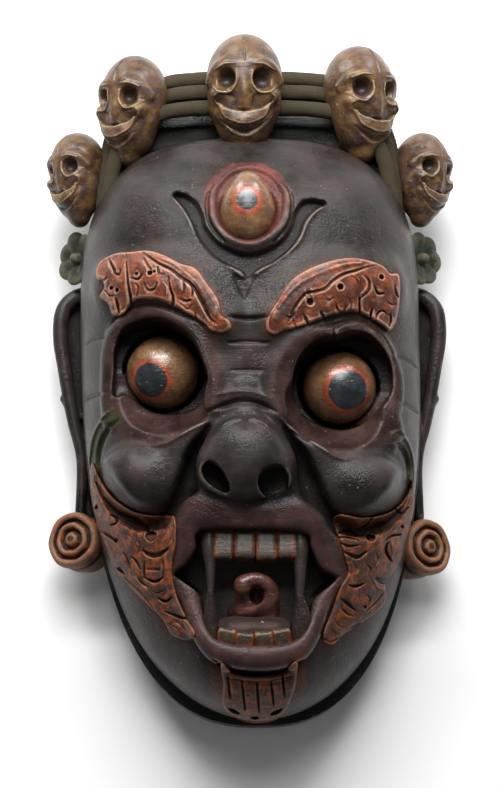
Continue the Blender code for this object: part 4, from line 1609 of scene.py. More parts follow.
RIGHT_BROW = Relief(
    "brow_right",
    Outline([
        (9, 20), (12, 26), (16, 33), (21, 41), (29, 47.5), (41, 53.5), (54, 57.5), (66, 57.6), (75, 55.5),
        (79, 52), (84.5, 52),
        (85, 38), (83, 27), (79, 20.5), (74.5, 22.5), (66, 26), (58, 28), (47, 25.2), (39, 22), (30, 18),
        (20, 15), (13.5, 12.6), (9.5, 15),
    ]),
    [
        Gouge([(21.5, 19.5, 0.8), (25.2, 27.6, 1.1), (30.6, 34.6, 1.3), (35.8, 36.2, 1.3),
            (41.9, 38.4, 1.3), (45.8, 42.6, 1.3), (52, 47.0, 1.3), (58.6, 49.6, 1.2), (65, 52.6, 0.9),
            (71, 54.6, 0.6)], 1.7, 1.2),
        Gouge([(16, 27, 1.6), (21.5, 35, 2.4), (29, 42, 2.6), (40, 47.6, 2.6), (52, 52.6, 2.6),
            (62, 54.8, 2.0)], -0.7),
        Gouge([(61.0, 35, 0.6), (61.2, 30, 1.0), (61.5, 24.6, 0.9)], 2.6, 1.1),
        Gouge([(68.4, 30.5, 0.7), (67.8, 27, 1.1), (67.0, 22.6, 0.9)], 2.6, 1.1),
        Gouge([(64.2, 48, 0.7), (66.8, 44.2, 1.0), (66.2, 39.4, 1.0), (62.4, 35.6, 0.8)], 1.4),
        Gouge([(62.6, 47, 0.6), (65.2, 43.4, 0.8), (64.4, 39.6, 0.8), (61.4, 37, 0.5)], -0.7),
        Gouge([(69.8, 42.2, 0.8), (71.6, 39.0, 1.1), (75.2, 39.6, 0.8)], 1.9),
        Gouge([(81.8, 45.6, 0.7), (82.2, 41.8, 1.1), (83.8, 39.2, 0.8)], 1.8),
        Gouge([(76.5, 36, 0.6), (79.4, 34.6, 0.8), (82.6, 35.4, 0.6)], 1.0),
        Gouge([(47.8, 31, 0.7), (48.8, 27.8, 1.0), (51.2, 26.6, 1.0), (53.6, 29.6, 0.7)], 1.4),
        Gouge([(70.8, 24.6, 0.6), (71.6, 28.4, 0.9), (74.6, 30.4, 0.9), (77.6, 28.6, 0.6)], 1.5),
        Gouge([(79, 29.6, 0.7), (79.6, 26, 1.1), (78.6, 22.4, 0.8)], 1.8),
        Gouge([(29.6, 24, 0.9), (31.4, 20.6, 1.6), (32.9, 17.2, 1.0)], 2.2),
        Gouge([(39.2, 25.6, 0.9), (41, 22.8, 1.4), (42.4, 20.2, 0.9)], 2.0),
        Gouge([(24, 20.8, 0.7), (25.0, 17.8, 1.0), (26.4, 15, 0.7)], 1.8),
        Gouge([(20.4, 22.2, 0.6), (23.2, 21.8, 0.9), (25.2, 24.6, 0.6)], 1.1),
        Gouge([(30.5, 37.5, 0.5), (31.2, 34.6, 0.7), (32.6, 32.4, 0.6)], -0.9),
        Gouge([(34.4, 37.5, 0.5), (34.6, 34.8, 0.7), (35.4, 32.8, 0.5)], -0.9),
        Gouge([(40.5, 34.5, 0.6), (43.6, 32, 0.9), (46.6, 33.6, 0.6)], 0.9),
        Gouge([(54.5, 34.5, 0.5), (56.6, 31, 0.8), (55.6, 27.6, 0.5)], 0.9),
        Gouge([(56.2, 46.5, 0.6), (59.4, 44.6, 0.8), (60.6, 41.4, 0.6)], 0.9),
    ],
    [(33.4, 30.6, 2.1, 3.4), (50.3, 39.8, 1.8, 3.2), (73.8, 48.2, 1.6, 2.8), (61.2, 34.8, 1.0, 1.6)],
    [(36, 27, 5, 0.7), (43.6, 29, 5, 0.7), (56.6, 38, 6, 0.9), (57, 30, 4, 0.6), (70, 34.6, 5, 0.8),
        (79, 44, 5, 0.8), (70, 48, 5, 0.6), (80, 32, 4, 0.6), (20.6, 17.6, 4, 0.6)],
    Hair.BROW, 3.4, 0.5,
)
LEFT_BEARD = Relief(
    "beard_left",
    Outline([
        (-90, -50), (-84, -62), (-77, -72), (-66, -80.5), (-55, -84), (-42, -84.5), (-40, -99),
        (-42.5, -113), (-40.5, -127), (-34.5, -141), (-29.5, -150),
        (-34, -152.5), (-43, -149.5), (-47.6, -142), (-52, -137), (-60, -129.5), (-69, -120), (-75.5, -112),
        (-80.5, -102), (-84.6, -92), (-88.6, -82), (-91.5, -68), (-92, -58),
    ]),
    [
        Gouge([(-87.5, -62, 0.8), (-83.5, -70.5, 1.0), (-74.8, -79.2, 1.2), (-65, -84.2, 1.3),
            (-59, -87.8, 1.3), (-56.4, -92.6, 1.2)], 1.7),
        Gouge([(-78.6, -81.4, 0.7), (-75.0, -83.2, 1.1), (-74.8, -86.6, 1.1), (-78.0, -87.4, 0.8)], 1.9),
        Gouge([(-85.6, -88.6, 0.8), (-80.0, -92.4, 1.4), (-75.6, -96, 1.4)], 1.8),
        Gouge([(-83.6, -94.2, 0.8), (-80, -99, 1.2), (-76.5, -104.6, 1.0)], -0.9),
        Gouge([(-59, -103.2, 1.0), (-55.5, -105.6, 1.7), (-50.5, -106.2, 1.8), (-44.6, -103.2, 1.0)],
            3.0, 0.8),
        Gouge([(-58.2, -118, 0.8), (-52.4, -120.4, 1.3), (-47.6, -118.4, 0.8)], 2.4),
        Gouge([(-58.2, -109.4, 0.8), (-58.6, -114, 1.1), (-58.2, -118, 0.8)], 1.5),
        Gouge([(-47.9, -109.4, 0.8), (-47.4, -114, 1.0), (-47.8, -118.4, 0.7)], 1.2),
        Gouge([(-56.4, -113.6, 1.2), (-50, -114, 1.6)], 1.3),
        Gouge([(-65.6, -106, 0.8), (-62.6, -109.6, 1.3), (-60.6, -113.6, 0.8)], 2.0),
        Gouge([(-50.6, -129.4, 0.8), (-46.5, -131.2, 1.3), (-42.6, -129, 0.8)], 2.4),
        Gouge([(-47, -136.6, 0.7), (-40, -139.4, 1.2), (-32.0, -142.4, 0.9)], 2.0),
        Gouge([(-76, -110, 0.9), (-72.6, -112.4, 1.5), (-70, -115, 0.9)], 2.4),
        Gouge([(-69.6, -117.2, 0.7), (-63.5, -123.2, 1.0), (-57.4, -129.7, 1.0), (-52.6, -135.5, 0.7)],
            1.2),
        Gouge([(-67.2, -115, 0.6), (-61, -121, 0.8), (-55, -127.4, 0.6)], -0.7),
        Gouge([(-70.5, -103, 0.7), (-68.4, -107.4, 1.1), (-66.8, -112, 0.7)], 1.3),
        Gouge([(-63.5, -115.6, 0.6), (-60.8, -120, 0.9), (-56, -123.4, 0.6)], 1.2),
        Gouge([(-70, -92.4, 0.6), (-66, -96, 0.8), (-65, -101, 0.6)], 0.8),
        Gouge([(-62.5, -97.5, 0.6), (-60.8, -101, 0.8), (-62.4, -105, 0.6)], 0.9),
        Gouge([(-54.6, -125, 0.6), (-51, -126.6, 0.9), (-46, -124.6, 0.6)], 1.0),
        Gouge([(-44.8, -143, 0.5), (-41.4, -145.4, 0.8), (-38, -148.4, 0.5)], 0.9),
        Gouge([(-41.6, -141.8, 0.5), (-38.2, -144.4, 0.8), (-35.2, -147.6, 0.5)], 0.9),
        Gouge([(-49, -89.5, 0.6), (-46, -93, 0.8), (-47.6, -97.6, 0.6)], 0.8),
        Gouge([(-44.4, -92, 0.5), (-43.4, -98, 0.8), (-45, -101, 0.5)], 0.8),
    ],
    [(-54.5, -95.6, 3.4, 4.4), (-74.9, -96.1, 1.5, 2.8), (-87.2, -75.4, 1.4, 2.0),
        (-73.4, -111.2, 1.3, 2.0)],
    [(-70, -88, 8, 0.7), (-66, -100, 6, 0.7), (-80, -70, 5, 0.5), (-72, -107, 5, 0.8),
        (-52.6, -124, 5, 0.7), (-63, -118, 5, 0.7), (-41, -134, 5, 0.7), (-40, -146, 5, 0.7),
        (-46.4, -113.6, 3, 0.5)],
)
RIGHT_BEARD = Relief(
    "beard_right",
    Outline([
        (93.5, -60), (90, -68), (85, -75), (76, -81.5), (62, -85.5), (47, -84.5), (49, -96), (53, -109),
        (54.4, -116), (50, -124), (46, -135), (40.5, -149),
        (41, -153.5), (46.5, -154.5), (53, -148.6), (60, -144), (66, -140), (73, -134), (78, -127.5),
        (76.5, -120.5), (81, -113), (86.4, -105), (88.2, -97), (91.5, -88), (95, -74),
    ]),
    [
        Gouge([(49.6, -93.6, 0.8), (54.6, -92.2, 1.3), (60.4, -94.2, 0.9)], 1.9),
        Gouge([(49.6, -97.2, 0.8), (54.6, -96.4, 1.1), (60.6, -98, 0.8)], 1.6),
        Gouge([(50.2, -100.2, 0.8), (54.8, -101.6, 1.2), (60.2, -100.8, 0.8)], 1.8),
        Gouge([(52.6, -105, 0.9), (59.3, -107.2, 1.5), (64.8, -104, 0.9)], 2.8, 0.9),
        Gouge([(75.4, -97.2, 0.7), (79.8, -93.8, 1.2), (85, -92.2, 0.9)], 1.9),
        Gouge([(77.4, -97.6, 0.9), (76.4, -102.6, 1.5), (79.6, -107.4, 0.9)], 2.6),
        Gouge([(79.6, -97, 0.6), (80.6, -102, 0.9), (80, -106, 0.6)], -0.6),
        Gouge([(70.6, -117.8, 1.2), (74.7, -118.6, 2.4), (79.0, -116.4, 1.2)], 3.2, 0.7),
        Gouge([(69.2, -118.8, 0.6), (72.4, -122.9, 1.0), (77.4, -122.2, 1.0), (80.6, -116.8, 0.6)], -1.1),
        Gouge([(54.8, -122.6, 0.8), (59, -122.9, 1.3), (63.4, -121.2, 0.8)], 2.4),
        Gouge([(50.0, -129.6, 0.8), (54.3, -132.4, 1.6), (59, -136, 0.9)], 2.0),
        Gouge([(50.4, -134.2, 0.7), (53.4, -137.4, 1.0), (57.6, -139, 0.7)], 1.3),
        Gouge([(55.6, -145.2, 0.8), (58.6, -144, 1.4), (61.6, -142.2, 0.8)], 2.4),
        Gouge([(40.6, -151.6, 0.8), (45, -153.2, 1.1), (50.2, -150.4, 0.8)], 1.6),
        Gouge([(77.6, -127.4, 0.6), (73.8, -132.6, 0.9), (68.0, -138.4, 0.7)], -0.8),
        Gouge([(75, -125.2, 0.6), (71, -130.6, 0.9), (65.4, -136, 0.7)], 1.2),
        Gouge([(83.2, -73, 0.8), (87.2, -69.6, 1.2), (90.6, -64, 0.8)], 1.6),
        Gouge([(82.4, -77.6, 0.8), (86.6, -79.6, 1.2), (90.4, -76, 0.8)], 1.5),
        Gouge([(62.8, -89.6, 0.7), (65.6, -87.8, 1.0), (68, -85, 0.7)], 1.4),
        Gouge([(70.5, -87, 0.6), (73.8, -90.4, 0.9), (72.6, -95, 0.6)], 1.0),
        Gouge([(64, -110.6, 0.6), (67.6, -113.2, 0.9), (66, -117.4, 0.6)], 1.0),
        Gouge([(70.6, -104, 0.6), (71.4, -108.6, 0.9), (69, -112.6, 0.6)], 0.9),
        Gouge([(64.2, -126.6, 0.6), (67.4, -128.8, 0.9), (66, -132.8, 0.6)], 1.1),
        Gouge([(46.6, -141, 0.5), (49.6, -144.6, 0.8), (52.8, -145.8, 0.5)], 0.9),
        Gouge([(45.2, -146.6, 0.5), (48, -149, 0.8), (51.6, -149.2, 0.5)], 0.9),
        Gouge([(57.4, -110.4, 0.5), (59.2, -114, 0.8), (58, -118, 0.5)], 0.9),
    ],
    [(67.4, -95.6, 2.9, 4.2), (86.2, -87.6, 1.3, 2.0), (60.8, -142.8, 1.2, 1.6), (64.6, -133.6, 1.2, 1.8)],
    [(60, -89, 5, 0.6), (72, -99, 5, 0.7), (80, -86, 6, 0.7), (64, -100, 4, 0.5), (83.4, -101, 4, 0.7),
        (60, -116, 5, 0.6), (56, -127, 5, 0.6), (67, -123, 4, 0.6), (49, -147, 5, 0.7), (72, -110, 4, 0.5)],
)
TUFT = Relief(
    "chin_tuft",
    Outline([
        (-15.5, -166), (-14.6, -177), (-15.2, -187), (-9.4, -193), (0.6, -196.5), (12.8, -195.8),
        (19.8, -190.8), (24.4, -181.4),
        (26.2, -172.5), (25.6, -165), (17, -170.6), (4, -172), (-8, -170.4),
    ]),
    [
        Gouge([(-11.9, -171.5, 0.6), (-11.4, -178, 1.0), (-10.6, -184.5, 0.7)], 2.4, 1.1),
        Gouge([(-4.3, -175, 0.7), (-3.4, -182, 1.0), (-2.4, -190, 0.7)], 2.4, 1.1),
        Gouge([(4.0, -176, 0.7), (4.6, -183, 1.1), (5.3, -191, 0.8)], 2.4, 1.1),
        Gouge([(11.8, -175.5, 0.7), (12.5, -181, 1.0), (13.4, -188, 0.7)], 2.4, 1.1),
        Gouge([(18.0, -171.5, 0.7), (18.7, -177, 1.0), (19.3, -183.5, 0.7)], 2.4, 1.1),
        Gouge([(-13, -173.4, 0.7), (4, -175.8, 0.9), (23, -172.6, 0.7)], 1.2),
        Gouge([(-11.6, -189.4, 0.9), (-8.9, -190.6, 1.5), (-5.8, -192, 0.8)], 2.8, 0.7),
        Gouge([(1.0, -194, 0.8), (3.0, -194.3, 1.3), (5.2, -194.2, 0.8)], 2.6, 0.7),
        Gouge([(12.0, -192.6, 0.9), (14.8, -191.4, 1.6), (18, -189.8, 0.9)], 2.8, 0.7),
    ],
    [(-0.6, -182.5, 0.9, 1.0)],
    [(-7.8, -179, 4, 0.6), (0.4, -182, 4, 0.6), (8.4, -183, 4, 0.6), (15.4, -180, 4, 0.6),
        (22, -178, 4, 0.5)],
    proud=2.6, step=0.5,
)
RELIEFS = (LEFT_BROW, RIGHT_BROW, LEFT_BEARD, RIGHT_BEARD, TUFT)


# ---------------------------------------------------------------- geometry nodes


class Board:
    """A node tree in the making, with short words for its nodes and links."""

    def __init__(self, tree: bpy.types.NodeTree) -> None:
        """Starts on an empty tree."""
        self.tree = tree

    def feed(self, socket: Socket, value: object) -> None:
        """Gives a socket a value or an output.

        Args:
            socket: The socket.
            value: A plain value, or another node's output.
        """
        if isinstance(value, Socket):
            self.tree.links.new(value, socket)
        else:
            socket.default_value = value

    def node(self, kind: str, inputs: dict[str, object], **settings: object) -> bpy.types.NodeOutputs:
        """Places a node.

        Args:
            kind: The node's type.
            inputs: A value or an output for each named input.
            **settings: The node's own settings.

        Returns:
            The node's outputs.
        """
        node = self.tree.nodes.new(kind)
        for setting, value in settings.items():
            setattr(node, setting, value)
        for name, value in inputs.items():
            self.feed(next(entry for entry in node.inputs if entry.name == name and entry.enabled), value)
        return node.outputs

    def work_out(self, kind: str, operation: str, values: tuple[object, ...], **settings: object) -> Socket:
        """Works out one result from inputs that are given in their order.

        Args:
            kind: The node's type.
            operation: Its operation.
            values: Its inputs in order.
            **settings: The node's own settings.

        Returns:
            The node's first output.
        """
        results = self.node(kind, {}, operation=operation, **settings)
        for socket, value in zip(results[0].node.inputs, values):
            self.feed(socket, value)
        return results[0]

    def maths(self, operation: str, *values: object, clamp: bool = False) -> Socket:
        """Works out one number from others."""
        return self.work_out("ShaderNodeMath", operation, values, use_clamp=clamp)

    def vector(self, operation: str, *values: object) -> Socket:
        """Works out one vector from others."""
        return self.work_out("ShaderNodeVectorMath", operation, values)

    def sway(self, noise: Socket, reach: object) -> Socket:
        """Turns a noise's colour into a push of up to half the reach either way."""
        centred = self.vector("SUBTRACT", noise, (0.5, 0.5, 0.5))
        return self.node("ShaderNodeVectorMath", {"Vector": centred, "Scale": reach}, operation="SCALE")[0]


class GrowTree(Board):
    """A Geometry Nodes tree that takes a geometry, a few named sizes and a material."""

    def __init__(self, name: str, sizes: dict[str, float | int]) -> None:
        """Starts the tree.

        Args:
            name: The tree's name.
            sizes: Name and default of each size; an int makes a whole-number input.
        """
        super().__init__(bpy.data.node_groups.new(name, "GeometryNodeTree"))
        face = self.tree.interface
        face.new_socket("Geometry", in_out="INPUT", socket_type="NodeSocketGeometry")
        for size, value in sizes.items():
            kind = "NodeSocketInt" if isinstance(value, int) else "NodeSocketFloat"
            face.new_socket(size, in_out="INPUT", socket_type=kind).default_value = value
        face.new_socket("Material", in_out="INPUT", socket_type="NodeSocketMaterial")
        face.new_socket("Geometry", in_out="OUTPUT", socket_type="NodeSocketGeometry")
        self.given = self.tree.nodes.new("NodeGroupInput").outputs
        self.result = self.tree.nodes.new("NodeGroupOutput")

    def join(self, parts: list[Socket]) -> Socket:
        """Joins several geometries.

        Args:
            parts: The geometries.

        Returns:
            The joined geometry.
        """
        node = self.tree.nodes.new("GeometryNodeJoinGeometry")
        for part in parts:
            self.tree.links.new(part, node.inputs[0])
        return node.outputs[0]

    def uneven(self, low: float, high: float) -> Socket:
        """Draws a number between two limits for each place."""
        inputs = {"Min": low, "Max": high, "Seed": self.given["Seed"]}
        return self.node("FunctionNodeRandomValue", inputs, data_type="FLOAT")[1]

    def turned(self, towards: Socket, tilt: Socket) -> Socket:
        """Turns X towards a vector, and then by a tilt about its own axes.

        Args:
            towards: The vector that X turns to.
            tilt: The turn that follows.

        Returns:
            The rotation.
        """
        turn = self.node("FunctionNodeAlignRotationToVector", {"Vector": towards}, axis="X")[0]
        result = self.node("FunctionNodeRotateRotation", {"Rotation": turn}, rotation_space="LOCAL")[0]
        self.tree.links.new(tilt, result.node.inputs[1])
        return result

    def finish(self, geometry: Socket) -> None:
        """Ends the tree in real, smooth faces that carry the material.

        Args:
            geometry: What the tree has made.
        """
        real = self.node("GeometryNodeRealizeInstances", {"Geometry": geometry})[0]
        smooth = self.node("GeometryNodeSetShadeSmooth", {"Geometry": real, "Shade Smooth": True})[0]
        inputs = {"Geometry": smooth, "Material": self.given["Material"]}
        self.tree.links.new(self.node("GeometryNodeSetMaterial", inputs)[0], self.result.inputs[0])

    def grow(
        self, name: str, mesh: bpy.types.Mesh, sizes: dict[str, float | int], paint: Material
    ) -> Piece:
        """Runs the tree on a mesh and keeps the result as a plain mesh.

        Args:
            name: The object's name.
            mesh: The mesh that the tree starts from.
            sizes: The sizes that differ from the tree's own.
            paint: The material.

        Returns:
            The object.
        """
        obj = new_object(name, mesh)
        modifier = obj.modifiers.new("grow", "NODES")
        modifier.node_group = self.tree
        sockets = self.tree.interface.items_tree
        entries = {entry.name: entry.identifier for entry in sockets if entry.in_out == "INPUT"}
        for size, value in sizes.items():
            modifier[entries[size]] = value
        modifier[entries["Material"]] = paint
        return bake(obj)


def path_mesh(name: str, points: list[Point]) -> bpy.types.Mesh:
    """Makes a chain of edges in metres through points in millimetres.

    Args:
        name: The mesh's name.
        points: The points.

    Returns:
        The mesh.
    """
    mesh = bpy.data.meshes.new(name)
    edges = [(i, i + 1) for i in range(len(points) - 1)]
    mesh.from_pydata([[value * MM for value in point[:3]] for point in points], edges, [])
    return mesh


# ---------------------------------------------------------------- crown


@dataclass
class Crown:
    """Three mouldings over the dome, swept along arches.

    Attributes:
        mouldings: Half width, rise, height of the ends and height of the top of each moulding.
        radius: Half the width of a moulding.
    """

    mouldings: tuple[Point, ...] = (
        (85.0, 117.0, 60.0, 74.5), (87.0, 128.5, 52.0, 68.5), (88.5, 139.5, 43.0, 60.0),
    )
    radius: float = 4.6

    def sweep(self) -> GrowTree:
        """Builds the tree that sweeps a slightly uneven round bar along a path.

        Returns:
            The finished tree.
        """
        tree = GrowTree("swept_moulding", {"Radius": 5.0 * MM, "Flatness": 0.8, "Unevenness": 0.5 * MM,
            "Seed": 1})
        path = tree.node("GeometryNodeMeshToCurve", {"Mesh": tree.given["Geometry"]})[0]
        path = tree.node("GeometryNodeResampleCurve", {"Curve": path, "Count": 220})[0]
        path = tree.node("GeometryNodeSetCurveNormal", {"Curve": path}, mode="Z_UP")[0]
        inputs = {"Resolution": 28, "Radius": tree.given["Radius"]}
        section = tree.node("GeometryNodeCurvePrimitiveCircle", inputs)["Curve"]
        squash = tree.node("ShaderNodeCombineXYZ", {"X": 1.0, "Y": tree.given["Flatness"], "Z": 1.0})[0]
        section = tree.node("GeometryNodeTransform", {"Geometry": section, "Scale": squash})[0]
        inputs = {"Curve": path, "Profile Curve": section, "Fill Caps": True}
        bar = tree.node("GeometryNodeCurveToMesh", inputs)[0]
        where = tree.node("GeometryNodeInputPosition", {})[0]
        inputs = {"Vector": where, "W": tree.given["Seed"], "Scale": 70.0, "Detail": 2.0}
        noise = tree.node("ShaderNodeTexNoise", inputs, noise_dimensions="4D")
        push = tree.sway(noise["Color"], tree.given["Unevenness"])
        tree.finish(tree.node("GeometryNodeSetPosition", {"Geometry": bar, "Offset": push})[0])
        return tree

    def build(self, paint: Material) -> list[Piece]:
        """Sweeps the mouldings.

        Args:
            paint: Their material.

        Returns:
            The three pieces.
        """
        tree, made = self.sweep(), []
        for i, (width, rise, side_z, top_z) in enumerate(self.mouldings):
            path = path_mesh("arch", crown_path(width, rise, side_z, top_z))
            sizes = {"Radius": self.radius * MM, "Unevenness": 1.6 * MM, "Seed": 11 + i}
            bar = tree.grow(f"crown_moulding_{i + 1}", path, sizes, paint)
            lay_bends(bar, 5.0)
            made.append(bar)
        return made


SKULL_HEIGHT = 72.0  # the height at which the skull is carved, in millimetres


@dataclass(frozen=True)
class Skull:
    """One skull of the crown.

    Attributes:
        name: The piece's name.
        at: Its middle.
        height: From chin to crown.
        yaw: Turn about Y in degrees.
        roll: Turn about Z in degrees.
    """

    name: str
    at: Point
    height: float
    yaw: float
    roll: float

    def place(self) -> Matrix:
        """Gives the turn, scale and shift that put the carved skull in its place."""
        turn = Euler((0.0, math.radians(self.yaw), math.radians(self.roll)), "ZYX").to_matrix().to_4x4()
        return Matrix.Translation(Vector(self.at) * MM) @ turn @ Matrix.Scale(self.height / SKULL_HEIGHT, 4)


@dataclass
class Skulls:
    """The five skulls, carved once and set round the crown.

    Attributes:
        row: Each skull with its place.
    """

    row: tuple[Skull, ...] = (
        Skull("skull_middle", (-3, 165.5, 84), 75.5, 0, 0),
        Skull("skull_inner_left", (-71, 160, 72), 67, -36, -5),
        Skull("skull_inner_right", (67, 164, 72), 71, 34, 3),
        Skull("skull_outer_left", (-104.5, 124, 50), 58, -44, 3),
        Skull("skull_outer_right", (105, 124, 50), 58, 44, -3),
    )

    def carve(self) -> Piece:
        """Carves one skull: egg cranium, wide sockets, hollow cheeks and a crescent of jaw.

        Returns:
            The skull, round the origin.
        """
        block = Block((-28, -44, -30), (28, 44, 26), 0.5)
        block.add(Ball((0, 10, -4), (21.2, 25.5, 21)))
        block.add(Ball((0, -5, -2), (20.4, 19, 16.5)), 4.0)
        block.add(Ball((0, -18, -3), (14.6, 13.5, 14.5)), 5.0)
        block.add(Ball((0, -30.5, -4), (6.8, 6, 8)), 4.0)
        brow = [(3, 12.6, 13.8, 2.2), (9.5, 13.4, 12.8, 2.8), (15.5, 11.6, 9.2, 2.8), (19.0, 6, 3.5, 2.6)]
        for side in (-1, 1):
            block.add(Roll(on_side(side, brow)), 3.0)
            block.add(Ball((side * 12.5, -4.0, 7.5), (6.6, 5.0, 6.6), (0, side * 30, 0)), 3.0)
            block.cut(Ball((side * 11.2, 4.6, 15.8), (6.4, 6.0, 8.8), (0, side * 20, side * -8)), 1.2)
        block.add(Ball((0, -1, 8.0), (5.0, 13.5, 8.8)), 1.6)
        ledge = [(-12.0, -14.0, 5.4, 3.4), (-7, -17.4, 7.4, 4.8), (0, -19.0, 8.2, 5.2),
            (7, -17.4, 7.4, 4.8), (12.0, -14.0, 5.4, 3.4)]
        block.add(Roll(ledge), 3.0)
        sheet = block.sheet()
        smile = [(-14.6, -8.6), (-8, -12.6), (0, -14.4), (8, -12.6), (14.6, -8.6), (11.4, -16.6),
            (5, -20.6), (0, -21.6), (-5, -20.6), (-11.4, -16.6)]
        sheet.plateau(Outline(smile), 1.5, 0.7)
        Gouge([(0.4, 33, 0.8), (-0.4, 24, 1.4), (0.3, 15, 1.0)], 0.9).carve(sheet)
        Gouge([(-13, -17.5, 0.8), (-7, -22.0, 1.8), (0, -24.6, 2.2), (7, -22.0, 1.8), (13, -17.5, 0.8)],
            1.5).carve(sheet)
        Gouge([(-4.4, -12.6, 0.8), (0, -13.4, 1.2), (4.4, -12.6, 0.8)], 1.0).carve(sheet)
        cheek = [(-16.4, -5.4), (-11, -3.6), (-5.4, -5.0), (-3.6, -11.6), (-8, -12.8), (-13.8, -9.4)]
        ring = [(4.6, 8.6, 0.7), (4.2, 2.0, 0.9), (8.2, -3.2, 1.0), (14.0, -3.0, 1.0), (18.0, 2.0, 0.7)]
        lid = [(5, 12.4, 0.7), (11, 12.6, 1.1), (16.5, 10.4, 0.7)]
        for side in (-1, 1):
            sheet.plateau(Outline(on_side(side, cheek)), -1.1, 1.6)
            Gouge(on_side(side, ring), -0.8).carve(sheet)
            Gouge(on_side(side, lid), -0.8).carve(sheet)
        for x, y, radius, height in self._flats():
            sheet.dab(x, y, radius, height)
        block.work(sheet, 0.0, 6.0)
        obj = block.skin("skull", 44000)
        lay_wear(obj, block, 1.4, 5.0)
        return obj

    def _flats(self) -> list[Point]:
        """Scatters the shallow flats that a knife leaves on the bone."""
        chance = np.random.default_rng(7)
        return [
            (*chance.uniform((-20, -30), (20, 34)), chance.uniform(4, 8), chance.uniform(-0.55, 0.4))
            for _ in range(70)
        ]

    def build(self, paint: Material) -> list[Piece]:
        """Sets the skulls round the crown.

        Args:
            paint: Their material.

        Returns:
            The five pieces.
        """
        first, made = self.carve(), []
        for skull in self.row:
            mesh = first.data.copy()
            mesh.transform(skull.place())
            obj = new_object(skull.name, mesh)
            dress(obj, paint)
            made.append(obj)
        bpy.data.objects.remove(first)
        return made


@dataclass
class Rosette:
    """A flower at either end of the crown.

    Attributes:
        centre: Its middle; the left one is mirrored.
        yaw: Turn outwards about Y in degrees.
        radius: Half its width.
        petals: Number of petals.
        petal_seat: Where the petals sit, as a share of the radius.
        petal_tilt: How far each petal tips outwards in degrees.
    """

    centre: Point = (101.5, 77.5, 38.0)
    yaw: float = 44.0
    radius: float = 16.0
    petals: int = 7
    petal_seat: float = 0.52
    petal_tilt: float = -16.0

    def flower(self) -> GrowTree:
        """Builds the tree that sets petals round a boss, on a rounded foot.

        Returns:
            The finished tree.
        """
        sizes = {"Petals": 7, "Radius": 16.0 * MM, "Petal length": 8.4 * MM, "Petal width": 8.0 * MM,
            "Seed": 3}
        tree = GrowTree("carved_flower", sizes)
        reach = tree.maths("MULTIPLY", tree.given["Radius"], self.petal_seat)
        ring = tree.node("GeometryNodeMeshCircle", {"Vertices": tree.given["Petals"], "Radius": reach})[0]
        ball = tree.node("GeometryNodeMeshIcoSphere", {"Radius": 1.0, "Subdivisions": 5})["Mesh"]
        spot = tree.node("GeometryNodeInputPosition", {})[0]
        inputs = {"Euler": (0.0, math.radians(self.petal_tilt), 0.0)}
        turn = tree.turned(spot, tree.node("FunctionNodeEulerToRotation", inputs)[0])
        length = tree.maths("MULTIPLY", tree.given["Petal length"], tree.uneven(0.9, 1.1))
        inputs = {"X": length, "Y": tree.given["Petal width"], "Z": 2.7 * MM}
        shape = tree.node("ShaderNodeCombineXYZ", inputs)[0]
        inputs = {"Points": ring, "Instance": ball, "Rotation": turn, "Scale": shape}
        parts = [tree.node("GeometryNodeInstanceOnPoints", inputs)[0]]
        for level, half in ((1.5, (3.4, 3.6, 5.6)), (-10.5, (12.6, 12.6, 11.0))):
            scale = tuple(part * MM for part in half)
            inputs = {"Geometry": ball, "Translation": (0.0, 0.0, level * MM), "Scale": scale}
            parts.append(tree.node("GeometryNodeTransform", inputs)[0])
        tree.finish(tree.join(parts))
        return tree

    def build(self, paint: Material) -> list[Piece]:
        """Grows both flowers and turns them outwards.

        Args:
            paint: Their material.

        Returns:
            The two pieces.
        """
        tree, made = self.flower(), []
        for side, name in ((-1, "rosette_left"), (1, "rosette_right")):
            sizes = {"Petals": self.petals, "Radius": self.radius * MM, "Seed": 5 + side}
            obj = tree.grow(name, bpy.data.meshes.new("seed"), sizes, paint)
            lay_bends(obj, 2.5)
            x, y, z = self.centre
            turn = Matrix.Rotation(math.radians(side * self.yaw), 4, "Y")
            obj.data.transform(Matrix.Translation(Vector((side * x, y, z)) * MM) @ turn)
            made.append(obj)
        return made


# ---------------------------------------------------------------- ears


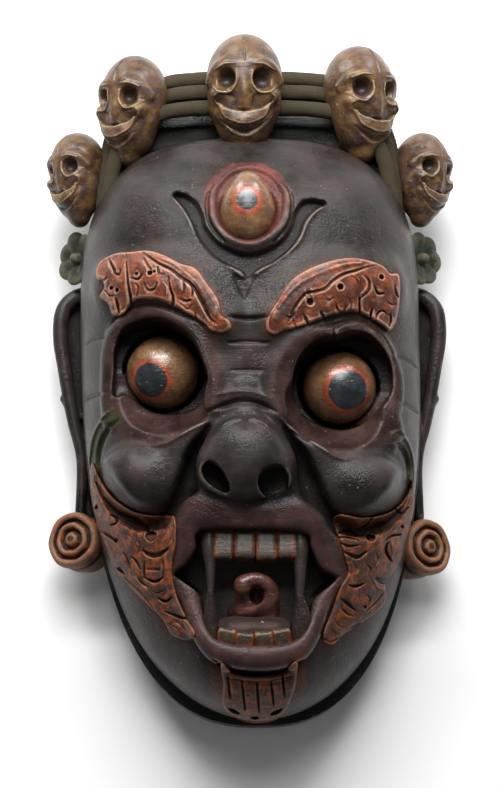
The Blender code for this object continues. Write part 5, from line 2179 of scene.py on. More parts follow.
@dataclass
class EarDisc:
    """The thick round plug in each ear lobe, turned with rings.

    Attributes:
        seats: Middle of the left one and the right one.
        turns: Turn about Y of the left one and the right one in degrees.
        lean: Turn about X in degrees.
        steps: Segments round a disc.
    """

    seats: tuple[Point, ...] = ((-97.0, -92.0, 24.0), (96.0, -96.0, 24.0))
    turns: Point = (-24.0, 34.0)
    lean: float = -5.0
    steps: int = 144

    def profile(self) -> list[Point]:
        """Gives (radius, height) along the turned section, from the face's middle to the back."""
        return [
            (0.0, 18.6), (2.6, 18.4), (4.0, 17.2), (4.9, 15.2), (5.9, 15.2), (7.0, 17.4), (8.4, 18.2),
            (9.7, 17.2),
            (10.5, 14.6), (11.6, 14.6), (12.8, 16.8), (14.6, 17.2), (16.0, 15.8), (16.6, 12.6), (16.3, 9.4),
            (14.9, 7.8), (14.6, 4.6), (16.0, 2.6), (16.4, -3.0), (15.2, -8.0), (11.0, -9.4), (0.0, -9.4),
        ]

    def build(self, paint: Material) -> list[Piece]:
        """Turns both discs.

        Args:
            paint: Their material.

        Returns:
            The two pieces.
        """
        section = flowing(self.profile(), samples=4)[1:-1]
        made = []
        for i, name in enumerate(("ear_disc_left", "ear_disc_right")):
            mesh = self._lathe(section, 2.0 + 2.0 * i)
            obj = new_object(name, mesh)
            lay_on(obj, "lift", places_of(obj)[:, 2])
            lay_bends(obj, 1.6)
            turn = Euler((math.radians(self.lean), math.radians(self.turns[i]), 0.0)).to_matrix().to_4x4()
            mesh.transform(Matrix.Translation(Vector(self.seats[i]) * MM) @ turn)
            dress(obj, paint)
            made.append(obj)
        return made

    def _lathe(self, section: np.ndarray, phase: float) -> bpy.types.Mesh:
        """Turns a section into a closed mesh whose rim is a little uneven.

        Args:
            section: (radius, height) along the turned section.
            phase: Shifts the unevenness round the rim.

        Returns:
            The mesh.
        """
        steps, rows = self.steps, len(section)
        turns = np.linspace(0.0, 2.0 * math.pi, steps, endpoint=False)
        wobble = 1.0 + 0.022 * np.sin(3 * turns + phase) + 0.012 * np.sin(7 * turns + 2 * phase)
        radius = np.maximum(section[:, 0:1], 0.05)
        grid = np.stack([
            radius * (np.cos(turns) * wobble)[None, :],
            radius * (np.sin(turns) * wobble)[None, :],
            np.repeat(section[:, 1:2], steps, axis=1),
        ], axis=2)
        tips = [[0.0, 0.0, section[0, 1]], [0.0, 0.0, section[-1, 1]]]
        vertices = np.vstack([grid.reshape(-1, 3), tips]) * MM
        ring = [(j, (j + 1) % steps) for j in range(steps)]
        faces = []
        for i in range(0, (rows - 1) * steps, steps):
            faces += [(i + j, i + steps + j, i + steps + k, i + k) for j, k in ring]
        last = (rows - 1) * steps
        for j, k in ring:
            faces += [(rows * steps, j, k), (rows * steps + 1, last + k, last + j)]
        mesh = bpy.data.meshes.new("disc")
        mesh.from_pydata(vertices.tolist(), [], faces)
        mesh.shade_smooth()
        return mesh


# ---------------------------------------------------------------- eyes


@dataclass(frozen=True)
class Eyeball:
    """A staring ball with a painted iris.

    Attributes:
        name: The piece's name.
        socket: The socket that it sits in.
        gaze: (x, y) of the iris's middle.
        iris: Radius of the iris along the ball.
    """

    name: str
    socket: EyeSocket
    gaze: Point
    iris: float

    def build(self, paint: Material) -> Piece:
        """Turns the ball and stores how far each place lies from the iris's middle.

        Args:
            paint: Its material.

        Returns:
            The piece.
        """
        centre, radius = Vector(self.socket.ball), self.socket.radius
        shape = bmesh.new()
        bmesh.ops.create_icosphere(shape, subdivisions=6, radius=radius * MM)
        bmesh.ops.translate(shape, verts=shape.verts, vec=centre * MM)
        mesh = bpy.data.meshes.new(self.name)
        shape.to_mesh(mesh)
        shape.free()
        mesh.shade_smooth()
        obj = new_object(self.name, mesh)
        off_x, off_y = self.gaze[0] - self.socket.ball[0], self.gaze[1] - self.socket.ball[1]
        gaze = np.array([off_x, off_y, math.sqrt(radius**2 - off_x**2 - off_y**2)]) / radius
        away = (places_of(obj) - np.array(self.socket.ball)) / radius
        lay_on(obj, "iris", np.arccos(np.clip(away @ gaze, -1.0, 1.0)) * radius - self.iris)
        dress(obj, paint)
        return obj


@dataclass(frozen=True)
class ThirdEye:
    """The upright eye of the forehead, drawn out to a point at its top.

    Attributes:
        gaze: (x, y) of the iris's middle.
        iris: Radius of the iris.
    """

    gaze: Point = (-1.4, 89.4)
    iris: float = 5.8

    def build(self, paint: Material) -> Piece:
        """Carves the ball and stores how far each place lies from the iris's middle.

        Args:
            paint: Its material.

        Returns:
            The piece.
        """
        forms = [Ball((-1.0, 85.2, 119.5), (15.6, 17.2, 11.5)), Ball((-1.0, 97.0, 117.8), (8.6, 12.2, 8.8))]
        obj = Block.round_forms(forms, 0.5, 9.0).skin("third_eye", 36000)
        places = places_of(obj)
        lay_on(obj, "iris", np.hypot(places[:, 0] - self.gaze[0], places[:, 1] - self.gaze[1]) - self.iris)
        dress(obj, paint)
        return obj


EYES = (
    Eyeball("eyeball_left", SOCKETS[0], (-56.0, -9.2), 10.2),
    Eyeball("eyeball_right", SOCKETS[1], (55.6, -14.6), 11.8),
    ThirdEye(),
)


# ---------------------------------------------------------------- mouth


@dataclass
class Mouth:
    """Teeth, fangs and the curled tongue.

    Attributes:
        upper_row: Middle line of the upper teeth.
        lower_row: Middle line of the lower teeth.
        upper_gaps: Where the upper teeth part.
        lower_gaps: Where the lower teeth part.
    """

    upper_row: tuple[Point, ...] = ((-14.0, -101.0, 106.0), (-2.6, -101.4, 107.0), (9.0, -101.4, 107.0),
        (20.6, -101.0, 106.0))
    lower_row: tuple[Point, ...] = ((-12.0, -152.6, 102.6), (-3.0, -154.4, 103.8), (8.0, -154.8, 104.0),
        (17.4, -153.0, 102.8))
    upper_gaps: tuple[float, ...] = (-18.6, -8.5, 3.6, 15.2, 23.6)
    lower_gaps: tuple[float, ...] = (-17.2, -7.6, 2.4, 12.6, 22.2)

    def teeth(self) -> GrowTree:
        """Builds the tree that sets rounded blocks side by side along a path.

        Returns:
            The finished tree.
        """
        sizes = {"Width": 9.0 * MM, "Height": 15.0 * MM, "Depth": 12.0 * MM}
        tree = GrowTree("row_of_teeth", {"Count": 6, **sizes, "Slant": 0.0, "Seed": 1})
        path = tree.node("GeometryNodeMeshToCurve", {"Mesh": tree.given["Geometry"]})[0]
        path = tree.node("GeometryNodeResampleCurve", {"Curve": path, "Count": tree.given["Count"]})[0]
        inputs = {"Size": (1.0, 1.0, 1.0), "Vertices X": 4, "Vertices Y": 4, "Vertices Z": 4}
        box = tree.node("GeometryNodeMeshCube", inputs)["Mesh"]
        block = tree.node("GeometryNodeSubdivisionSurface", {"Mesh": box, "Level": 3})[0]
        along = tree.node("GeometryNodeInputTangent", {})[0]
        lean = tree.node("ShaderNodeCombineXYZ", {"X": tree.given["Slant"]})[0]
        turn = tree.turned(along, tree.node("FunctionNodeEulerToRotation", {"Euler": lean})[0])
        tall = tree.maths("MULTIPLY", tree.given["Height"], tree.uneven(0.92, 1.06))
        inputs = {"X": tree.given["Width"], "Y": tall, "Z": tree.given["Depth"]}
        size = tree.node("ShaderNodeCombineXYZ", inputs)[0]
        inputs = {"Points": path, "Instance": block, "Rotation": turn, "Scale": size}
        tree.finish(tree.node("GeometryNodeInstanceOnPoints", inputs)[0])
        return tree

    def build(self, tooth: Material, gum: Material, flesh: Material) -> list[Piece]:
        """Builds everything that stands in the mouth.

        Args:
            tooth: Material of the teeth and fangs.
            gum: Material of the gum.
            flesh: Material of the tongue.

        Returns:
            The pieces.
        """
        tree = self.teeth()
        upper_sizes = {"Count": 4, "Width": 12.4 * MM, "Height": 18.0 * MM, "Depth": 13.0 * MM,
            "Slant": math.radians(-8.0), "Seed": 4}
        lower_sizes = {"Count": 4, "Width": 10.9 * MM, "Height": 14.8 * MM, "Depth": 15.0 * MM,
            "Slant": math.radians(16.0), "Seed": 9}
        made = [
            tree.grow("teeth_upper", path_mesh("gum", list(self.upper_row)), upper_sizes, tooth),
            tree.grow("teeth_lower", path_mesh("gum", list(self.lower_row)), lower_sizes, tooth),
            self._gum(),
        ]
        for obj, gaps, top in zip(made, (self.upper_gaps, self.lower_gaps), (-91.0, -157.0)):
            x, y, _ = places_of(obj).T
            lay_on(obj, "gap", np.min([np.abs(x - gap) for gap in gaps], axis=0))
            lay_on(obj, "root", np.abs(y - top))
        fangs = {
            "fang_upper_left": [(-22.2, -93, 106.5, 4.6), (-22.2, -103, 108.5, 4.2),
                (-21.6, -111, 109.5, 3.2), (-21.3, -119, 110.5, 2.4), (-21.2, -129, 111.5, 1.7)],
            "fang_upper_right": [(27.8, -93, 106.5, 4.8), (28.2, -103, 108.5, 4.4),
                (28.0, -111, 109.5, 3.5), (27.7, -120, 110.5, 2.9), (27.2, -131, 111.5, 2.2)],
            "fang_lower_left": [(-20.6, -156, 102, 4.4), (-20.9, -148, 104.5, 4.4), (-21.1, -140, 107, 4.1),
                (-21.3, -133, 109.5, 3.0), (-21.3, -127, 111.5, 1.8)],
            "fang_lower_right": [(27.4, -156, 102, 5.2), (28.0, -148, 104.5, 5.6), (28.4, -141, 107, 5.2),
                (28.2, -135, 109.5, 3.6), (27.4, -130, 111.5, 2.3)],
        }
        for name, knots in fangs.items():
            obj = Block.round_forms([Roll(knots)], 0.45).skin(name, 16000)
            lay_on(obj, "root", np.abs(places_of(obj)[:, 1] - knots[0][1]))
            lay_on(obj, "gap", np.full(len(obj.data.vertices), REACH))
            made.append(obj)
        for obj in made:
            lay_bends(obj, 2.0)
            dress(obj, gum if obj is made[2] else tooth)
        return [*made, self._tongue(flesh)]

    def _gum(self) -> Piece:
        """Carves the flat gum behind the lower teeth.

        Returns:
            The piece.
        """
        outline = [
            (-17.5, -145), (-16, -141.8), (-8, -140.2), (3, -140.8), (12, -140.4), (20, -141.5),
            (22.5, -146),
            (19, -149.4), (10, -150.4), (4, -149.2), (-2, -150.6), (-10, -150), (-16, -148),
        ]
        block = Block.round_forms([Plate(outline, 84.0, 108.4, -0.35)], 0.5)
        return block.skin("gum_lower", 20000)

    def _tongue(self, flesh: Material) -> Piece:
        """Carves the tongue: a broad root that curls up, over and back into its own hollow.

        Args:
            flesh: Its material.

        Returns:
            The piece.
        """
        curl = [
            (6, -147, 82, 9.0), (9.0, -139, 91, 7.6), (12.0, -131.5, 98, 4.8), (11.6, -125.2, 101.5, 4.2),
            (7.4, -120.8, 103.5, 4.0),
            (1.8, -119.8, 104.4, 4.0), (-3.2, -122.2, 104.2, 5.0), (-3.6, -123.6, 103.8, 5.2),
        ]
        rim = [(-9.0, -136.4, 90, 3.2), (-4, -136.6, 95, 3.4), (3, -136.0, 98, 3.6), (9.4, -132, 99.5, 3.8)]
        forms = [Roll(curl), Roll(rim), Ball((1, -141, 86), (13, 9, 9)), Ball((1.5, -128, 93),
            (9.5, 9.5, 6))]
        block = Block.round_forms(forms, 0.5, 4.0)
        block.cut(Ball((3.8, -128.6, 102), (4.0, 4.8, 10)), 1.0)
        block.cut(Roll([(3, -130.8, 102, 2.4), (-4, -132.6, 100, 2.2), (-11, -133.0, 98, 2.0)]), 1.0)
        obj = block.skin("tongue", 40000)
        lay_wear(obj, block, 1.6, 5.0)
        dress(obj, flesh)
        return obj


def dress(obj: Piece, paint: Material) -> None:
    """Gives a piece its material."""
    obj.data.materials.clear()
    obj.data.materials.append(paint)


# ---------------------------------------------------------------- paint


def tone(red: int, green: int, blue: int) -> Colour:
    """Turns a screen colour, 0 to 255, into the light that a surface gives back."""
    return tuple(((v / 255 + 0.055) / 1.055) ** 2.4 if v > 10 else v / 255 / 12.92 for v in (red, green,
        blue))


class PaintBoard(Board):
    """A shader tree, or a group of shader nodes, in the making."""

    def noise(self, where: object, scale: object, detail: float = 3.0, rough: float = 0.55) -> Socket:
        """Gives cloudy noise from 0 to 1."""
        inputs = {"Vector": where, "Scale": scale, "Detail": detail, "Roughness": rough}
        return self.node("ShaderNodeTexNoise", inputs)[0]

    def ramp(self, value: object, low: object, high: object) -> Socket:
        """Rises softly from 0 at one value to 1 at another."""
        inputs = {"Value": value, "From Min": low, "From Max": high}
        return self.node("ShaderNodeMapRange", inputs, interpolation_type="SMOOTHSTEP")[0]

    def mix(self, share: object, first: object, second: object, blend: str = "MIX") -> Socket:
        """Mixes two colours.

        Args:
            share: How much of the second colour shows.
            first: The first colour.
            second: The second colour.
            blend: The way in which the second colour is laid on the first.

        Returns:
            The mixed colour.
        """
        colours = [(*tint, 1.0) if isinstance(tint, tuple) else tint for tint in (first, second)]
        inputs = {"Factor": share, "A": colours[0], "B": colours[1]}
        settings = {"data_type": "RGBA", "blend_type": blend, "clamp_factor": True}
        return next(entry for entry in self.node("ShaderNodeMix", inputs, **settings) if entry.enabled)

    def read(self, name: str) -> Socket:
        """Reads a number that is stored at each vertex.

        Args:
            name: The name that the number is stored under.

        Returns:
            The number.
        """
        node = self.tree.nodes.new("ShaderNodeAttribute")
        node.attribute_name = name
        return node.outputs["Fac"]

    def group(self, tree: bpy.types.NodeTree, inputs: dict[str, object]) -> bpy.types.NodeOutputs:
        """Places a shared group.

        Args:
            tree: The group's tree.
            inputs: A value or an output for each named input.

        Returns:
            The group's outputs.
        """
        node = self.tree.nodes.new("ShaderNodeGroup")
        node.node_tree = tree
        for name, value in inputs.items():
            self.feed(node.inputs[name], value)
        return node.outputs


@dataclass
class Effect:
    """A group of nodes that several paints share.

    Attributes:
        name: The group's name.
        takes: Name and default of each input besides Vector.
        gives: Name of each output.
    """

    name: str
    takes: dict[str, float]
    gives: tuple[str, ...]

    def __post_init__(self) -> None:
        """Makes the empty group with its sockets."""
        tree = bpy.data.node_groups.new(self.name, "ShaderNodeTree")
        tree.interface.new_socket("Vector", in_out="INPUT", socket_type="NodeSocketVector")
        for name, value in self.takes.items():
            face = tree.interface.new_socket(name, in_out="INPUT", socket_type="NodeSocketFloat")
            face.default_value = value
        for name in self.gives:
            tree.interface.new_socket(name, in_out="OUTPUT", socket_type="NodeSocketFloat")
        self.board = PaintBoard(tree)
        self.given = tree.nodes.new("NodeGroupInput").outputs
        self.result = tree.nodes.new("NodeGroupOutput").inputs

    def give(self, **outputs: Socket) -> bpy.types.NodeTree:
        """Connects the outputs and hands the group over.

        Args:
            **outputs: The socket of each output.

        Returns:
            The group's tree.
        """
        for name, socket in outputs.items():
            self.board.feed(self.result[name.replace("_", " ").capitalize()], socket)
        return self.board.tree


class Effects:
    """The groups of nodes that the paints share."""

    def __init__(self) -> None:
        """Builds each group once."""
        self.strokes = self._strokes()
        self.wear = self._wear()
        self.zone = self._zone()
        self.specks = self._specks()
        self.grain = self._grain()

    def _strokes(self) -> bpy.types.NodeTree:
        """Builds brush strokes: fine lines that mostly run across, and clouds of thick and thin paint.

        Returns:
            The group; every output runs from 0 to 1.
        """
        takes = {"Fineness": 620.0, "Cloud size": 60.0, "Sway": 0.004}
        effect = Effect("brush_strokes", takes, ("Line", "Cloud", "Grit", "Wrinkle"))
        board, given = effect.board, effect.given
        drift = board.node("ShaderNodeTexNoise", {"Vector": given["Vector"], "Scale": 22.0, "Detail": 1.0})[
            "Color"]
        swayed = board.vector("ADD", given["Vector"], board.sway(drift, given["Sway"]))
        across = board.vector("MULTIPLY", swayed, (0.07, 1.0, 0.8))
        lines = board.noise(across, given["Fineness"], 3.0, 0.6)
        other = board.vector("MULTIPLY", swayed, (0.4, 0.12, 0.3))
        crossing = board.noise(other, given["Fineness"], 2.0, 0.6)
        line = board.maths("MULTIPLY_ADD", crossing, 0.3, board.maths("MULTIPLY", lines, 0.7))
        cloud = board.noise(swayed, given["Cloud size"], 4.0, 0.6)
        grit = board.noise(given["Vector"], 1900.0, 2.0, 0.6)
        folded = board.maths("ABSOLUTE", board.maths("SUBTRACT", board.noise(swayed, 330.0, 2.0, 0.5), 0.5))
        crowded = board.ramp(board.noise(given["Vector"], 34.0, 2.0), 0.42, 0.62)
        wrinkle = board.maths("MULTIPLY", board.ramp(folded, 0.0, 0.12), crowded)
        line, cloud = board.ramp(line, 0.3, 0.7), board.ramp(cloud, 0.28, 0.72)
        return effect.give(line=line, cloud=cloud, grit=grit, wrinkle=wrinkle)

    def _wear(self) -> bpy.types.NodeTree:
        """Builds the loss of paint along edges, broken up by noise.

        Returns:
            The group; Mask is 1 where the paint is gone.
        """
        takes = {"Edge": 0.0, "Start": 0.15, "Breakup": 0.25, "Size": 260.0}
        effect = Effect("edge_wear", takes, ("Mask",))
        board, given = effect.board, effect.given
        broken = board.maths("SUBTRACT", board.noise(given["Vector"], given["Size"], 5.0, 0.7), 0.5)
        level = board.maths("MULTIPLY_ADD", broken, given["Breakup"], given["Edge"])
        return effect.give(mask=board.ramp(level, given["Start"], board.maths("ADD", given["Start"], 0.12)))

    def _zone(self) -> bpy.types.NodeTree:
        """Builds the hand-drawn edge of a patch of colour.

        Returns:
            The group; Mask is 1 inside.
        """
        takes = {"Away": 0.0, "Wobble": 1.0, "Blur": 0.5, "Size": 160.0}
        effect = Effect("painted_zone", takes, ("Mask",))
        board, given = effect.board, effect.given
        shake = board.maths("SUBTRACT", board.noise(given["Vector"], given["Size"], 3.0, 0.6), 0.5)
        level = board.maths("MULTIPLY_ADD", shake, given["Wobble"], given["Away"])
        inside = board.ramp(level, board.maths("MULTIPLY", given["Blur"], -1.0), given["Blur"])
        return effect.give(mask=board.maths("SUBTRACT", 1.0, inside))

    def _specks(self) -> bpy.types.NodeTree:
        """Builds small chips and specks of dust.

        Returns:
            The group; Mask is 1 on a speck.
        """
        effect = Effect("specks", {"Density": 300.0, "Share": 0.1, "Size": 0.25}, ("Mask",))
        board, given = effect.board, effect.given
        noise = board.node("ShaderNodeTexNoise", {"Vector": given["Vector"], "Scale": 700.0})["Color"]
        bent = board.vector("MULTIPLY_ADD", noise, (0.003, 0.003, 0.003), given["Vector"])
        cell = board.node("ShaderNodeTexVoronoi", {"Vector": bent, "Scale": given["Density"]})
        draw = board.node("ShaderNodeSeparateColor", {"Color": cell["Color"]})[0]
        chosen = board.maths("LESS_THAN", draw, given["Share"])
        away = board.ramp(cell["Distance"], board.maths("MULTIPLY", given["Size"], 0.6), given["Size"])
        return effect.give(mask=board.maths("MULTIPLY", board.maths("SUBTRACT", 1.0, away), chosen))

    def _grain(self) -> bpy.types.NodeTree:
        """Builds the grain of the bare wood, which runs from chin to crown.

        Returns:
            The group; Line runs from 0 to 1.
        """
        effect = Effect("wood_grain", {"Scale": 260.0}, ("Line",))
        board, given = effect.board, effect.given
        along = board.vector("MULTIPLY", given["Vector"], (1.0, 0.05, 1.0))
        bend = board.noise(along, 30.0, 2.0)
        rings = board.maths("SINE", board.maths("MULTIPLY", bend, 90.0))
        fibre = board.noise(along, given["Scale"], 4.0, 0.65)
        return effect.give(line=board.maths("MULTIPLY_ADD", rings, 0.25, fibre))


LINE_TONE = 0.2  # how much the lines of the brush lighten the paint
GRIT_TONE = 0.3  # how much its grit does
GRIT_FLOOR = 0.75  # what both start from
SHADE_AND_DIRT_START = 0.02  # hollows deeper than this are darkened with dirt and painted shade
# how far dirt and painted shade cover the paint in the deepest hollows
SHADE_AND_DIRT_COVER = 0.85
CHIP_COVER = 0.4
COAT_ROUGHNESS = 0.22


@dataclass(frozen=True)
class Zone:
    """A patch of another colour.

    Attributes:
        reads: The stored distance that it follows.
        light: Its lighter tone.
        dark: Its darker tone.
        level: Where its edge lies, in the stored distance's own units.
        wobble: How far its edge strays.
        blur: How soft its edge is.
        cover: How well it covers.
    """

    reads: str
    light: Colour
    dark: Colour
    level: float = 0.0
    wobble: float = 1.6
    blur: float = 0.5
    cover: float = 1.0


@dataclass(frozen=True)
class Paint:
    """Paint brushed by hand over carved wood, rubbed and dirtied with age, with painted shade in its
    hollows.

    Attributes:
        name: The material's name.
        light: The lighter tone.
        dark: The darker tone.
        worn: What shows where edges are rubbed.
        hollow: The dark colour laid in the hollows, for dirt and painted shade.
        zones: Patches of other colours, in the order in which they are painted.
        rough: Roughness of the paint.
        rough_spread: How much the roughness changes.
        stroke_height: Height of the brush strokes in millimetres.
        cloud: Clouds of thick and thin paint to a metre.
        wear_start: How sharp an edge must be to lose its paint.
        wear_cover: How much of the paint is lost there.
        shade_and_dirt_depth: How deep a hollow must be to be darkened with dirt and painted shade.
        coat: Share of varnish.
        gloss: Strength of the shine.
        wrinkle: Height of the wrinkles of thick paint in millimetres.
        wash: A thin third tone over parts of the paint.
        wash_cover: How well that covers.
        stain: A strong tone in small patches.
        stain_cover: How well that covers.
    """

    name: str
    light: Colour
    dark: Colour
    worn: Colour
    hollow: Colour
    zones: tuple[Zone, ...] = ()
    rough: float = 0.42
    rough_spread: float = 0.16
    stroke_height: float = 0.10
    cloud: float = 60.0
    wear_start: float = 0.2
    wear_cover: float = 0.7
    shade_and_dirt_depth: float = 0.35
    coat: float = 0.0
    gloss: float = 0.3
    wrinkle: float = 0.10
    wash: Colour = (0.0, 0.0, 0.0)
    wash_cover: float = 0.0
    stain: Colour = (0.0, 0.0, 0.0)
    stain_cover: float = 0.0

    def make(self, effects: Effects) -> Material:
        """Builds the material.

        Args:
            effects: The shared groups.

        Returns:
            The material.
        """
        material = bpy.data.materials.new(self.name)
        material.use_nodes = True
        board = PaintBoard(material.node_tree)
        where = board.node("ShaderNodeTexCoord", {})["Object"]
        strokes = board.group(effects.strokes, {"Vector": where, "Cloud size": self.cloud})
        colour = board.mix(strokes["Cloud"], self.dark, self.light)
        for tint, cover, shift, scale, edge in (
            (self.wash, self.wash_cover, (0.3, 0.1, 0.7), 0.8, (0.44, 0.66)),
            (self.stain, self.stain_cover, (0.9, 0.5, 0.2), 1.7, (0.5, 0.6)),
        ):
            if cover:
                clouds = board.noise(board.vector("ADD", where, shift), self.cloud * scale, 5.0, 0.65)
                patch = board.maths("MULTIPLY", board.ramp(clouds, *edge), cover)
                colour = board.mix(patch, colour, tint)
        for zone in self.zones:
            colour = self._paint_zone(board, effects, where, strokes, colour, zone)
        streak = board.maths("MULTIPLY_ADD", strokes["Grit"], GRIT_TONE, GRIT_FLOOR)
        streak = board.maths("MULTIPLY_ADD", strokes["Line"], LINE_TONE, streak)
        grey = board.node("ShaderNodeCombineColor", {"Red": streak, "Green": streak, "Blue": streak})[0]
        colour = board.mix(1.0, colour, grey, "MULTIPLY")
        # dirt and painted shade: the hollows are darkened towards the hollow colour
        shade_and_dirt = board.ramp(board.maths("MULTIPLY", board.read("hollow"), -1.0), SHADE_AND_DIRT_START,
            self.shade_and_dirt_depth)
        colour = board.mix(board.maths("MULTIPLY", shade_and_dirt, SHADE_AND_DIRT_COVER), colour, self.hollow)
        inputs = {"Vector": where, "Edge": board.read("edge"), "Start": self.wear_start}
        wear = board.maths("MULTIPLY", board.group(effects.wear, inputs)["Mask"], self.wear_cover)
        colour = board.mix(wear, colour, self.worn)
        inputs = {"Vector": where, "Share": 0.05, "Density": 480.0, "Size": 0.3}
        chips = board.group(effects.specks, inputs)["Mask"]
        colour = board.mix(board.maths("MULTIPLY", chips, CHIP_COVER), colour, self.worn)
        rough = self.rough - self.rough_spread * 0.5
        for mask, share in ((strokes["Cloud"], self.rough_spread), (strokes["Grit"], 0.12), (wear, 0.12)):
            rough = board.maths("MULTIPLY_ADD", mask, share, rough)
        rough = board.maths("MULTIPLY_ADD", shade_and_dirt, 0.25, rough, clamp=True)
        height = board.maths("MULTIPLY", strokes["Grit"], 0.08)
        for mask, share in (
            (strokes["Line"], self.stroke_height), (strokes["Cloud"], 0.12), (strokes["Wrinkle"],
                self.wrinkle),
            (wear, -0.05), (chips, -0.08),
        ):
            height = board.maths("MULTIPLY_ADD", mask, share, height)
        bump = board.node("ShaderNodeBump", {"Strength": 1.0, "Distance": MM, "Height": height})[0]
        shader = material.node_tree.nodes["Principled BSDF"]
        board.feed(shader.inputs["Base Color"], colour)
        board.feed(shader.inputs["Roughness"], rough)
        board.feed(shader.inputs["Normal"], bump)
        shader.inputs["Specular IOR Level"].default_value = self.gloss
        shader.inputs["Coat Weight"].default_value = self.coat
        shader.inputs["Coat Roughness"].default_value = COAT_ROUGHNESS
        return material

    def _paint_zone(
        self, board: PaintBoard, effects: Effects, where: object, strokes: object, colour: object,
            zone: Zone
    ) -> Socket:
        """Lays one patch over the colour so far.

        Args:
            board: The material's board.
            effects: The shared groups.
            where: Object coordinates.
            strokes: The outputs of the brush strokes.
            colour: The colour so far.
            zone: The patch.

        Returns:
            The new colour.
        """
        away = board.maths("SUBTRACT", board.read(zone.reads), zone.level)
        inputs = {"Vector": where, "Away": away, "Wobble": zone.wobble, "Blur": zone.blur}
        inside = board.group(effects.zone, inputs)["Mask"]
        patch = board.mix(strokes["Cloud"], zone.dark, zone.light)
        return board.mix(board.maths("MULTIPLY", inside, zone.cover), colour, patch)


@dataclass(frozen=True)
class BareWood:
    """The head's paint outside, and bare brown wood inside.

    Attributes:
        outside: The paint.
        light: The wood's lighter tone.
        dark: Its darker tone.
    """

    outside: Paint
    light: Colour = tone(150, 108, 72)
    dark: Colour = tone(84, 54, 34)

    def make(self, effects: Effects) -> Material:
        """Builds the material.

        Args:
            effects: The shared groups.

        Returns:
            The material.
        """
        material = self.outside.make(effects)
        board = PaintBoard(material.node_tree)
        shader = material.node_tree.nodes["Principled BSDF"]
        painted = shader.inputs["Base Color"].links[0].from_socket
        where = board.node("ShaderNodeTexCoord", {})["Object"]
        line = board.group(effects.grain, {"Vector": where})["Line"]
        wood = board.mix(board.ramp(line, 0.25, 0.8), self.dark, self.light)
        inputs = {"Vector": where, "Away": board.read("bare"), "Wobble": 2.5, "Blur": 0.6}
        inside = board.group(effects.zone, inputs)["Mask"]
        board.feed(shader.inputs["Base Color"], board.mix(inside, painted, wood))
        return material


GREEN_BLACK = (tone(23, 24, 18), tone(10, 12, 9))
MAUVE = (tone(64, 44, 40), tone(34, 22, 21))
HEAD_PAINT = BareWood(
    Paint(
        "black_paint", tone(50, 45, 43), tone(27, 25, 24), tone(128, 114, 106), tone(6, 5, 5),
        zones=(
            Zone("crown", *GREEN_BLACK, wobble=3.0, blur=1.5),
            Zone("band", tone(24, 25, 21), tone(10, 11, 10), wobble=2.0, blur=1.0),
            Zone("hair", tone(84, 44, 26), tone(40, 24, 20), level=1.5, wobble=6.0, blur=1.6, cover=0.6),
            Zone("lids", *MAUVE, wobble=2.0, blur=1.0, cover=0.9),
            Zone("halo", tone(98, 50, 44), tone(56, 32, 30), wobble=2.4, blur=0.9, cover=0.95),
            Zone("lips", tone(68, 47, 44), tone(42, 28, 28), wobble=1.8, blur=0.7, cover=0.95),
            Zone("folds", tone(46, 58, 30), tone(50, 30, 20), wobble=2.6, blur=1.0, cover=0.8),
            Zone("chin_strips", tone(112, 56, 24), tone(52, 30, 24), wobble=5.0, blur=1.4, cover=0.65),
            # painted shade and dirt inside the sockets and the mouth
            Zone("sunk_shade_and_dirt", tone(24, 17, 15), tone(9, 7, 7), level=-0.6, wobble=0.8, blur=0.5, cover=0.95),
            # painted shade: the grey on the mouth's back stands for the shaded space behind the mouth
            Zone("throat_shade", tone(84, 79, 76), tone(52, 48, 46), wobble=1.2, blur=0.8, cover=0.95),
        ),
        rough=0.31, stroke_height=0.07, wrinkle=0.13, wear_start=0.22, wear_cover=0.5, gloss=0.17,
        wash=tone(58, 43, 39), wash_cover=0.5,
    )
)
BROW_PAINT = Paint(
    "brow_paint", tone(108, 56, 34), tone(58, 30, 21), tone(164, 124, 102), tone(20, 7, 4),
    rough=0.34, wear_start=0.06, wear_cover=0.7, cloud=120.0, wash=tone(70, 48, 45), wash_cover=0.8,
        coat=0.1,
    stain=tone(146, 68, 26), stain_cover=0.5, shade_and_dirt_depth=0.22,
)
BEARD_PAINT = Paint(
    "beard_paint", tone(84, 48, 28), tone(42, 25, 18), tone(120, 84, 64), tone(10, 5, 4),
    rough=0.42, wear_start=0.10, wear_cover=0.5, cloud=120.0, wash=tone(60, 42, 36), wash_cover=0.7,
    stain=tone(146, 66, 18), stain_cover=0.6, shade_and_dirt_depth=0.22,
)
BONE_PAINT = Paint(
    "bone_paint", tone(94, 67, 42), tone(46, 31, 22), tone(168, 142, 108), tone(16, 10, 7),
    rough=0.32, wear_start=0.12, wear_cover=0.5, cloud=90.0, wash=tone(76, 58, 60), wash_cover=0.6,
        coat=0.2,
    stain=tone(120, 92, 44), stain_cover=0.4, shade_and_dirt_depth=0.3,
)
CROWN_PAINT = Paint(
    "crown_paint", *GREEN_BLACK, tone(78, 70, 56), tone(4, 5, 4),
    # painted shade: the hollows of the mouldings are painted almost black
    zones=(Zone("edge", tone(12, 14, 11), tone(6, 7, 6), level=-0.02, wobble=0.05, blur=0.06, cover=0.8),),
    rough=0.58, wear_start=0.2, wear_cover=0.5, cloud=80.0, wash=tone(38, 29, 24), wash_cover=0.6,
        gloss=0.05,
    stain=tone(16, 36, 22), stain_cover=0.5,
)
ROSETTE_PAINT = Paint(
    "rosette_paint", tone(28, 32, 24), tone(13, 17, 13), tone(110, 104, 88), tone(5, 7, 5),
    rough=0.46, wear_start=0.16, wear_cover=0.4, cloud=140.0, wash=tone(60, 44, 34), wash_cover=0.5,
        gloss=0.2,
    stain=tone(26, 56, 36), stain_cover=0.4,
)
